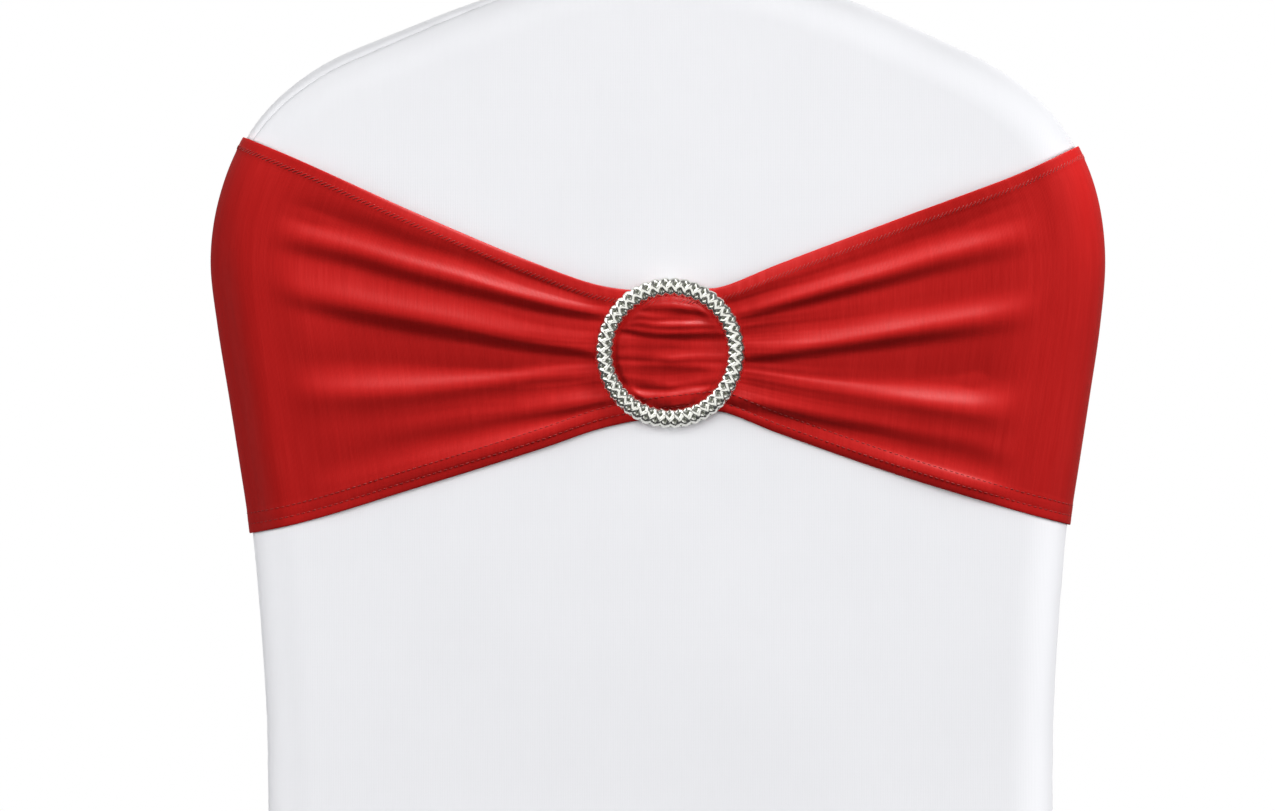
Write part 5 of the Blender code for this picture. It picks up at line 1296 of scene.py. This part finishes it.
# ------------------------------------------------------------------ the foot pockets
def pocket_piece(cx, cy, node, turn):
    """Reinforced cup: outer wall, rolled rim, inner wall and a doubled sole."""
    n = 120
    r_out, r_in, rim = LEG_ROLL - 0.0001, LEG_ROLL - POCKET_WALL, HEM_Z - 2 * 0.00016
    prof = [(0.0, FLOOR), (0.004, FLOOR), (0.008, FLOOR), (0.0105, FLOOR), (0.0120, FLOOR + 0.0001),
            (0.0130, FLOOR + 0.0006), (0.01365, FLOOR + 0.0015), (r_out, FLOOR + 0.0028)]
    prof += [(r_out, z) for z in np.linspace(FLOOR + 0.0040, rim - 0.0034, 30)]
    prof += [(r_out, rim - 0.0020), (r_out - 0.0002, rim - 0.0009), (r_out - 0.0006, rim - 0.0002),
             (r_out - 0.0009, rim), (r_in + 0.0003, rim - 0.0001), (r_in, rim - 0.0008), (r_in, rim - 0.004),
             (r_in, rim - 0.016), (r_in, rim - 0.030), (r_in, FLOOR + 0.006), (r_in - 0.0006, FLOOR + 0.0030),
             (r_in - 0.002, FLOOR + POCKET_SOLE), (0.006, FLOOR + POCKET_SOLE), (0.0, FLOOR + POCKET_SOLE)]
    prof = np.array(prof)
    ang = np.arange(n) * 2 * math.pi / n
    k = len(prof) - 2
    rr = np.tile(prof[1:-1, 0], (n, 1))
    zz = np.tile(prof[1:-1, 1], (n, 1))
    outer = np.arange(k) < 7 + 30 + 3
    h = zz - FLOOR
    # folds drawn in under the rim, the sole patch's edge, and the upright seam
    gather = 0.00030 * np.sin(13 * ang + turn)[:, None] + 0.00018 * np.sin(29 * ang + 2 * turn)[:, None]
    gather = gather * np.exp(-((rim - zz) / 0.014) ** 2) * (h > 0.003)
    patch = 0.00030 * (1 - ease((h - 0.0095) / 0.0006)) * (h > 0.0025) - 0.00030
    d = (ang[:, None] - turn + math.pi) % (2 * math.pi) - math.pi
    seam = -0.00045 * np.exp(-(d * LEG_ROLL / 0.0009) ** 2) + 0.00012 * np.exp(-((np.abs(d) * LEG_ROLL - 0.0022) / 0.0012) ** 2)
    seam = seam * (h > 0.003)
    bind = -0.00025 * np.exp(-((rim - zz - 0.0068) / 0.0006) ** 2)
    rr = rr + np.where(outer[None], np.minimum(gather + patch + seam + bind, 0.0), 0.0)
    x, y = cx + rr * np.cos(ang)[:, None], cy + rr * np.sin(ang)[:, None]
    verts = np.stack([x, y, zz], axis=-1).reshape(-1, 3)
    idx = np.arange(n * k).reshape(n, k)
    nxt = np.roll(idx, -1, axis=0)
    quads = np.stack([idx[:, :-1], nxt[:, :-1], nxt[:, 1:], idx[:, 1:]], axis=-1).reshape(-1, 4)
    verts = np.vstack([verts, [(cx, cy, FLOOR), (cx, cy, FLOOR + POCKET_SOLE)]])
    low, high = n * k, n * k + 1
    tris = np.vstack([np.stack([np.full(n, low), nxt[:, 0], idx[:, 0]], axis=1),
                      np.stack([np.full(n, high), idx[:, -1], nxt[:, -1]], axis=1)])
    uv = np.concatenate([np.stack([np.tile(ang[:, None] * LEG_ROLL, (1, k)), zz], axis=-1).reshape(-1, 2), [(0, FLOOR), (0, FLOOR)]])
    obj = blank_object(node.replace("foot_", ""), mesh_from(node, verts, [quads, tris], uv))
    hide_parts(node)
    stitches = []
    for height, pitch in ((rim - FLOOR - 0.0042, 0.0026), (rim - FLOOR - 0.0058, 0.0026), (0.0078, 0.0030)):
        count = int(2 * math.pi * LEG_ROLL / pitch)
        a = np.arange(count) * 2 * math.pi / count
        da = 0.36 * 2 * math.pi / count
        shape = lambda t: r_out + np.minimum(0.00030 * np.sin(13 * t + turn) * math.exp(-((rim - FLOOR - height) / 0.014) ** 2), 0.0) - (0.0002 if height > 0.02 else 0.0)
        pa = np.stack([cx + shape(a - da) * np.cos(a - da), cy + shape(a - da) * np.sin(a - da), np.full(count, FLOOR + height)], axis=1)
        pb = np.stack([cx + shape(a + da) * np.cos(a + da), cy + shape(a + da) * np.sin(a + da), np.full(count, FLOOR + height)], axis=1)
        nn = np.stack([np.cos(a), np.sin(a), np.zeros(count)], axis=1)
        stitches.append((pa, pb, nn))
    return obj, stitches


# ------------------------------------------------------------------ materials
class Nodes:
    def __init__(self, name):
        self.mat = bpy.data.materials.new(name)
        self.mat.use_nodes = True
        self.tree = self.mat.node_tree
        self.shader = self.tree.nodes["Principled BSDF"]

    def add(self, kind, **inputs):
        node = self.tree.nodes.new(kind)
        for key, value in inputs.items():
            setattr(node, key, value)
        return node

    def link(self, a, b):
        self.tree.links.new(a, b)

    def math(self, op, a, b=None, c=None, clamp=False):
        node = self.add("ShaderNodeMath", operation=op, use_clamp=clamp)
        for slot, value in enumerate((a, b, c)):
            if value is None:
                continue
            if hasattr(value, "is_output"):
                self.link(value, node.inputs[slot])
            else:
                node.inputs[slot].default_value = value
        return node.outputs[0]

    def uv(self):
        node = self.add("ShaderNodeUVMap", uv_map="cloth")
        split = self.add("ShaderNodeSeparateXYZ")
        self.link(node.outputs["UV"], split.inputs[0])
        return split.outputs["X"], split.outputs["Y"], node.outputs["UV"]

    def vector(self, x, y, z=0.0):
        node = self.add("ShaderNodeCombineXYZ")
        for slot, value in enumerate((x, y, z)):
            if hasattr(value, "is_output"):
                self.link(value, node.inputs[slot])
            else:
                node.inputs[slot].default_value = value
        return node.outputs[0]

    def noise(self, vector, scale, detail=2.0, rough=0.5):
        node = self.add("ShaderNodeTexNoise")
        self.link(vector, node.inputs["Vector"])
        node.inputs["Scale"].default_value = scale
        node.inputs["Detail"].default_value = detail
        node.inputs["Roughness"].default_value = rough
        return node.outputs["Fac"]

    def objects(self):
        return self.add("ShaderNodeTexCoord").outputs["Object"]

    def ramp(self, fac, stops):
        node = self.add("ShaderNodeValToRGB")
        self.link(fac, node.inputs["Fac"])
        e = node.color_ramp.elements
        while len(e) < len(stops):
            e.new(0.5)
        for el, (pos, colour) in zip(e, stops):
            el.position, el.color = pos, (*colour, 1.0)
        return node.outputs["Color"]

    def range(self, value, a, b, c, d):
        node = self.add("ShaderNodeMapRange")
        self.link(value, node.inputs["Value"])
        for key, v in (("From Min", a), ("From Max", b), ("To Min", c), ("To Max", d)):
            node.inputs[key].default_value = v
        return node.outputs["Result"]

    def bump(self, height, distance, strength=1.0, normal=None):
        node = self.add("ShaderNodeBump")
        self.link(height, node.inputs["Height"])
        node.inputs["Distance"].default_value = distance
        node.inputs["Strength"].default_value = strength
        if normal is not None:
            self.link(normal, node.inputs["Normal"])
        return node.outputs["Normal"]

    def set(self, **values):
        for key, value in values.items():
            self.shader.inputs[key.replace("_", " ")].default_value = value


def knit_material(name, light, dark, wale, course, rough, sheen, depth):
    """Fine warp knit: wales up the cloth, courses across it, with a little tonal drift."""
    m = Nodes(name)
    u, v, uv = m.uv()
    wales = m.math("SINE", m.math("MULTIPLY", u, 2 * math.pi / wale))
    lean = m.math("MULTIPLY", wales, 0.9)
    courses = m.math("SINE", m.math("ADD", m.math("MULTIPLY", v, 2 * math.pi / course), lean))
    weave = m.math("MULTIPLY_ADD", courses, 0.38, m.math("MULTIPLY", wales, 0.62))
    slub = m.noise(m.vector(m.math("MULTIPLY", u, 900.0), m.math("MULTIPLY", v, 60.0)), 1.0, 2.0)
    drift = m.noise(uv, 14.0, 3.0, 0.55)
    tone = m.math("ADD", m.math("MULTIPLY", drift, 0.70), m.math("MULTIPLY", slub, 0.30))
    m.link(m.ramp(tone, [(0.25, dark), (0.70, light)]), m.shader.inputs["Base Color"])
    m.link(m.range(slub, 0.2, 0.8, rough - 0.04, rough + 0.05), m.shader.inputs["Roughness"])
    height = m.math("ADD", m.math("MULTIPLY", weave, 0.5), m.math("MULTIPLY", slub, 0.6))
    m.link(m.bump(height, depth, 0.55), m.shader.inputs["Normal"])
    m.set(Sheen_Weight=sheen, Sheen_Roughness=0.4, Specular_IOR_Level=0.28)
    m.shader.inputs["Sheen Tint"].default_value = (1.0, 1.0, 1.0, 1.0)
    return m.mat


def satin_material():
    """Satin-faced stretch knit: fine wales up the band, drawn threads, soft gloss."""
    m = Nodes("sash_satin_red")
    u, v, uv = m.uv()
    wale = m.math("SINE", m.math("MULTIPLY", u, 2 * math.pi / 0.00057))
    threads = m.noise(m.vector(m.math("MULTIPLY", u, 1500.0), m.math("MULTIPLY", v, 45.0)), 1.0, 2.0, 0.6)
    ladder = m.noise(m.vector(m.math("MULTIPLY", u, 380.0), m.math("MULTIPLY", v, 9.0)), 1.0, 2.0, 0.5)
    drift = m.noise(uv, 26.0, 2.0)
    tone = m.math("ADD", m.math("MULTIPLY", threads, 0.42),
                  m.math("ADD", m.math("MULTIPLY", ladder, 0.36), m.math("MULTIPLY", drift, 0.22)))
    m.link(m.ramp(tone, [(0.28, (0.415, 0.0080, 0.0072)), (0.50, (0.470, 0.0100, 0.0090)), (0.72, (0.530, 0.0140, 0.0125))]),
           m.shader.inputs["Base Color"])
    m.link(m.range(threads, 0.2, 0.8, 0.37, 0.49), m.shader.inputs["Roughness"])
    height = m.math("ADD", m.math("MULTIPLY", wale, 0.30), m.math("MULTIPLY", threads, 0.9))
    m.link(m.bump(height, 0.00007, 0.6), m.shader.inputs["Normal"])
    m.set(Sheen_Weight=0.12, Sheen_Roughness=0.35, Specular_IOR_Level=0.22)
    m.shader.inputs["Sheen Tint"].default_value = (1.0, 0.20, 0.16, 1.0)
    return m.mat


def thread_material(name, light, dark, rough):
    m = Nodes(name)
    n = m.noise(m.objects(), 1400.0, 2.0)
    m.link(m.ramp(n, [(0.3, dark), (0.7, light)]), m.shader.inputs["Base Color"])
    m.link(m.range(n, 0.2, 0.8, rough - 0.06, rough + 0.06), m.shader.inputs["Roughness"])
    m.link(m.bump(n, 0.00006, 0.5), m.shader.inputs["Normal"])
    m.set(Sheen_Weight=0.2, Specular_IOR_Level=0.35)
    return m.mat


def plating_material():
    """Bright silver plating over the cast pattern, with shade painted into its colour: darkest in the pits, a little on
    the walls, and a faint random cloud.
    """
    m = Nodes("buckle_silver")
    pit = m.add("ShaderNodeAttribute", attribute_name="pit").outputs["Fac"]
    where = m.objects()
    cloud, grain = m.noise(where, 160.0, 3.0), m.noise(where, 2600.0, 2.0)
    mask = m.math("ADD", pit, m.math("MULTIPLY", m.math("SUBTRACT", cloud, 0.5), 0.25))
    # painted shade: the mask from the buckle's grooves takes the colour from bright silver on the crests down to dark
    # grey in the pits; the cloud is random tone
    m.link(m.ramp(mask, [(0.05, (0.80, 0.80, 0.74)), (0.30, (0.74, 0.75, 0.68)), (0.60, (0.58, 0.60, 0.52)), (0.90, (0.24, 0.25, 0.21))]),
           m.shader.inputs["Base Color"])
    rough = m.math("ADD", m.range(mask, 0.1, 0.9, 0.24, 0.46), m.math("MULTIPLY", m.math("SUBTRACT", grain, 0.5), 0.10))
    m.link(rough, m.shader.inputs["Roughness"])
    m.link(m.bump(m.math("ADD", m.math("MULTIPLY", grain, 0.5), cloud), 0.00003, 0.5), m.shader.inputs["Normal"])
    m.set(Metallic=1.0)
    return m.mat


def dress(obj, mat):
    obj.data.materials.clear()
    obj.data.materials.append(mat)


# ------------------------------------------------------------------ light, floor and camera
def area_light(name, place, target, size, watts, colour=(1.0, 1.0, 1.0), lit=None):
    data = bpy.data.lights.new(name, "AREA")
    data.shape, data.size, data.size_y, data.energy, data.color = "RECTANGLE", size[0], size[1], watts, colour
    obj = bpy.data.objects.new(name, data)
    obj.location = place
    obj.rotation_euler = (Vector(target) - Vector(place)).to_track_quat("-Z", "Y").to_euler()
    bpy.context.scene.collection.objects.link(obj)
    if lit is not None:
        obj.light_linking.receiver_collection = lit
    return obj


def light_group(name, objects):
    group = bpy.data.collections.new(name)
    for obj in objects:
        group.objects.link(obj)
    return group


def studio(red_things):
    scene = bpy.context.scene
    world = bpy.data.worlds.new("studio")
    scene.world = world
    world.use_nodes = True
    t = world.node_tree
    t.nodes.clear()
    out = t.nodes.new("ShaderNodeOutputWorld")
    rays = t.nodes.new("ShaderNodeLightPath")
    coords = t.nodes.new("ShaderNodeTexCoord")
    split = t.nodes.new("ShaderNodeSeparateXYZ")
    t.links.new(coords.outputs["Generated"], split.inputs[0])
    ramp = t.nodes.new("ShaderNodeValToRGB")
    lift = t.nodes.new("ShaderNodeMath")
    lift.operation = "MULTIPLY_ADD"
    lift.inputs[1].default_value, lift.inputs[2].default_value = 0.5, 0.5
    t.links.new(split.outputs["Z"], lift.inputs[0])
    t.links.new(lift.outputs[0], ramp.inputs["Fac"])
    e = ramp.color_ramp.elements
    e[0].position, e[0].color = 0.30, (0.30, 0.30, 0.31, 1)
    e[1].position, e[1].color = 0.80, (1.0, 1.0, 1.0, 1)
    soft = t.nodes.new("ShaderNodeBackground")
    soft.inputs["Strength"].default_value = WORLD
    t.links.new(ramp.outputs["Color"], soft.inputs["Color"])
    white = t.nodes.new("ShaderNodeBackground")
    white.inputs["Color"].default_value = (1, 1, 1, 1)
    white.inputs["Strength"].default_value = 1.0
    mix = t.nodes.new("ShaderNodeMixShader")
    t.links.new(rays.outputs["Is Camera Ray"], mix.inputs[0])
    t.links.new(soft.outputs[0], mix.inputs[1])
    t.links.new(white.outputs[0], mix.inputs[2])
    t.links.new(mix.outputs[0], out.inputs["Surface"])
    scene.view_settings.view_transform = "Standard"
    scene.view_settings.look = "None"

    n = 128
    ang = np.arange(n) * 2 * math.pi / n
    verts = np.vstack([[(0.0, 0.2, FLOOR)], np.stack([14.0 * np.cos(ang), 0.2 + 14.0 * np.sin(ang), np.full(n, FLOOR)], axis=1)])
    tris = np.stack([np.zeros(n, dtype=int), 1 + np.arange(n), 1 + (np.arange(n) + 1) % n], axis=1)
    mesh = mesh_from("floor", verts, [tris], smooth=False)
    floor = bpy.data.objects.new("floor", mesh)
    scene.collection.objects.link(floor)
    m = Nodes("floor_pale")
    c = m.noise(m.objects(), 3.0, 2.0)
    m.link(m.ramp(c, [(0.3, (0.80, 0.80, 0.80)), (0.7, (0.84, 0.84, 0.84))]), m.shader.inputs["Base Color"])
    m.set(Roughness=0.6, Specular_IOR_Level=0.2)
    dress(floor, m.mat)
    floor.visible_diffuse = False            # no bounce of white light up into the folds,
    floor.visible_glossy = False             # nor a white gleam under the plating

    # one soft light from above for the sash, broad even light for the white cover, two soft boxes for the plating
    buckle = [o for o in red_things if o.name == "buckle"]
    red = light_group("lit_sash", [o for o in red_things if o not in buckle])
    silver = light_group("lit_buckle", buckle)
    white = light_group("lit_cover", [o for o in scene.objects if o.type == "MESH" and o not in red_things and o is not floor])
    sky = bpy.data.lights.new("floor_light", "SUN")
    sky.energy, sky.angle = FLOOR_LIGHT, math.radians(70)
    above = bpy.data.objects.new("floor_light", sky)
    above.rotation_euler = (math.radians(12), math.radians(-10), 0.0)
    scene.collection.objects.link(above)
    above.light_linking.receiver_collection = light_group("lit_floor", [floor])
    key = area_light("key_sash", (1.05, -1.35, 2.00), (0.0, 0.0, -0.20), (1.3, 1.0), 0.7 * KEY_SASH, lit=red)
    area_light("key_sash_b", (1.05, -1.35, 2.00), (0.0, 0.0, -0.20), (1.3, 1.0), 0.3 * KEY_SASH, lit=red)
    # most of this light passes the buckle by, so that its shadow on the band stays as faint as under a large tent
    key.light_linking.blocker_collection = light_group("shade_sash", [o for o in scene.objects if o.type == "MESH" and o not in buckle])
    area_light("side_sash", (-1.35, -1.35, 1.85), (0.0, 0.0, -0.20), (1.1, 0.9), SIDE_SASH, lit=red)
    left = area_light("left_sash", (-2.6, -0.50, -0.9), (0.0, 0.0, -0.20), (1.2, 1.2), 54.0, lit=red)
    right = area_light("right_sash", (2.6, -0.45, -1.3), (0.0, 0.0, -0.20), (1.2, 1.2), 24.0, lit=red)
    left.visible_glossy = right.visible_glossy = False      # fill only, with no streak on the edge rolls
    area_light("rear_sash", (0.6, 2.8, 2.2), (0.0, 0.05, -0.20), (2.0, 1.5), REAR_SASH, lit=red)
    area_light("box_a", (-1.50, -1.10, 1.25), (0.0, 0.0, -0.18), (2.6, 2.6), 42.0, lit=silver)
    area_light("box_b", (0.4, -2.2, -0.75), (0.0, 0.0, -0.18), (3.6, 3.0), 38.0, lit=silver)
    area_light("key_cover", (-0.3, -3.1, 0.55), (0.0, 0.0, -0.40), (2.8, 2.2), KEY_COVER, lit=white)
    area_light("rear_cover", (0.9, 3.1, 1.9), (0.0, 0.2, -0.50), (2.8, 2.0), REAR_COVER, lit=white)
    area_light("left_cover", (-3.2, -0.9, -0.1), (0.0, 0.0, -0.40), (1.6, 1.6), 50.0, lit=white)
    area_light("right_cover", (3.2, -0.9, -0.1), (0.0, 0.0, -0.40), (1.6, 1.6), 82.0, lit=white)

    distance = 6.0
    data = bpy.data.cameras.new("camera")
    data.sensor_width = 36.0
    data.lens = 36.0 * distance / FRAME_WIDTH
    data.clip_start, data.clip_end = 0.5, 80.0
    cam = bpy.data.objects.new("camera", data)
    cam.location = (FRAME_X, -distance, FRAME_Z)
    cam.rotation_euler = (math.pi / 2, 0.0, 0.0)
    scene.collection.objects.link(cam)
    scene.camera = cam


FRAME_X, FRAME_Z, FRAME_WIDTH = -0.0104, -0.1994, 0.5736
WORLD, FLOOR_LIGHT = 0.20, 2.5
KEY_SASH, SIDE_SASH, REAR_SASH = 133.0, 7.0, 90.0
KEY_COVER, REAR_COVER = 78.0, 98.0


# ------------------------------------------------------------------ everything together
def main():
    rear = rear_panel()
    front, edges = front_panel()
    seam_line = roll_points(AT_SEAM)
    rear_edge = {-1: seam_line[I_LJ::-1], 1: seam_line[I_RJ:]}
    sides = [side_panel(side, edges[side], rear_edge[side]) for side in (-1, 1)]
    seams = Seams([seam_line, edges[-1], edges[1]])
    panels = [rear, front] + sides
    nodes = ["cover_rear_panel", "cover_front_panel", "cover_side_left", "cover_side_right"]
    # cut sizes: the worn panels, measured along the cloth, less 4% each way
    flats = [((0.457, 0.817), 0.289), ((0.468, 1.231), 0.453), ((0.487, 0.446), 0.139), ((0.487, 0.446), 0.139)]
    knit = knit_material("cover_knit_white", (0.842, 0.845, 0.872), (0.812, 0.815, 0.842), 0.00078, 0.00062, 0.74, 0.22, 0.00005)
    for s, node, (flat, area) in zip(panels, nodes, flats):
        s.join()
        dense_hem(s)
        obj = panel_piece(s, seams, node)
        dress(obj, knit)
        print("panel", s.name, "area", round(sheet_area(s.points, s.quads), 4), "tris", tris_of(obj))

    white_thread = thread_material("cover_thread", (0.84, 0.84, 0.86), (0.70, 0.70, 0.72), 0.6)
    starts, ends, normals = [], [], []
    for s in panels:
        tree = surface_tree(s.outer, list(s.quads) + list(s.tris))
        for distance, phase in ((0.0120, 0.0), (0.0148, 0.5)):
            a, b, n = hem_stitches(s, distance, 0.0032, 0.0022, tree, phase * 0.5)
            starts.append(a)
            ends.append(b)
            normals.append(n)
    hem = stitch_mesh("hem_stitches", np.vstack(starts), np.vstack(ends), np.vstack(normals), 0.00017)
    dress(hem, white_thread)

    sash, sheet, laid, uu, vrow = sash_piece()
    top, low = sash_stitches(laid, uu, vrow)
    dress(sash, satin_material())
    red_thread = thread_material("sash_thread", (0.40, 0.020, 0.017), (0.26, 0.010, 0.009), 0.55)
    dress(top, red_thread)
    dress(low, red_thread)
    print("sash", "area", round(sheet_area(sheet.points, sheet.quads), 4), "loop", round(float(uu[-1]), 4), "tris", tris_of(sash))

    buckle = buckle_piece()
    dress(buckle, plating_material())

    pocket_cloth = knit_material("pocket_cloth_white", (0.800, 0.800, 0.822), (0.745, 0.745, 0.768), 0.0011, 0.0009, 0.85, 0.25, 0.00010)
    y_front = front_stations()[-1]["y"] - LEG_ROLL
    y_rear = float(rear_y(HEM_Z)) + LEG_ROLL
    starts, ends, normals = [], [], []
    for side, word in ((-1, "left"), (1, "right")):
        i = 0 if side < 0 else len(RUNS) - 1
        for cx, cy, end, turn in ((side * (abs(AT[i][0]) - LEG_ROLL), y_rear, "rear", math.pi / 2),
                                  (side * (FOOT_HALF_FRONT - LEG_ROLL), y_front, "front", -math.pi / 2)):
            obj, rows = pocket_piece(cx, cy, "foot_pocket_%s_%s" % (end, word), turn)
            dress(obj, pocket_cloth)
            for a, b, n in rows:
                starts.append(a)
                ends.append(b)
                normals.append(n)
    cups = stitch_mesh("pocket_stitches", np.vstack(starts), np.vstack(ends), np.vstack(normals), 0.00018)
    dress(cups, white_thread)

    for obj in bpy.data.objects:
        if obj.type == "MESH" and obj.name in ("rear_panel", "front_panel", "side_left", "side_right", "sash", "buckle") or obj.name.startswith("pocket"):
            print("volume", obj.name, round(volume_of(obj) * 1e6, 3), "cm3", tris_of(obj))
    studio([sash, top, low, buckle])


def tris_of(obj):
    return sum(len(p.vertices) - 2 for p in obj.data.polygons)


def volume_of(obj):
    me = obj.data
    me.calc_loop_triangles()
    v = np.empty(len(me.vertices) * 3)
    me.vertices.foreach_get("co", v)
    v = v.reshape(-1, 3)
    t = np.empty(len(me.loop_triangles) * 3, dtype=np.int32)
    me.loop_triangles.foreach_get("vertices", t)
    t = t.reshape(-1, 3)
    return float(np.einsum("ij,ij->i", v[t[:, 0]], np.cross(v[t[:, 1]], v[t[:, 2]])).sum() / 6)


main()
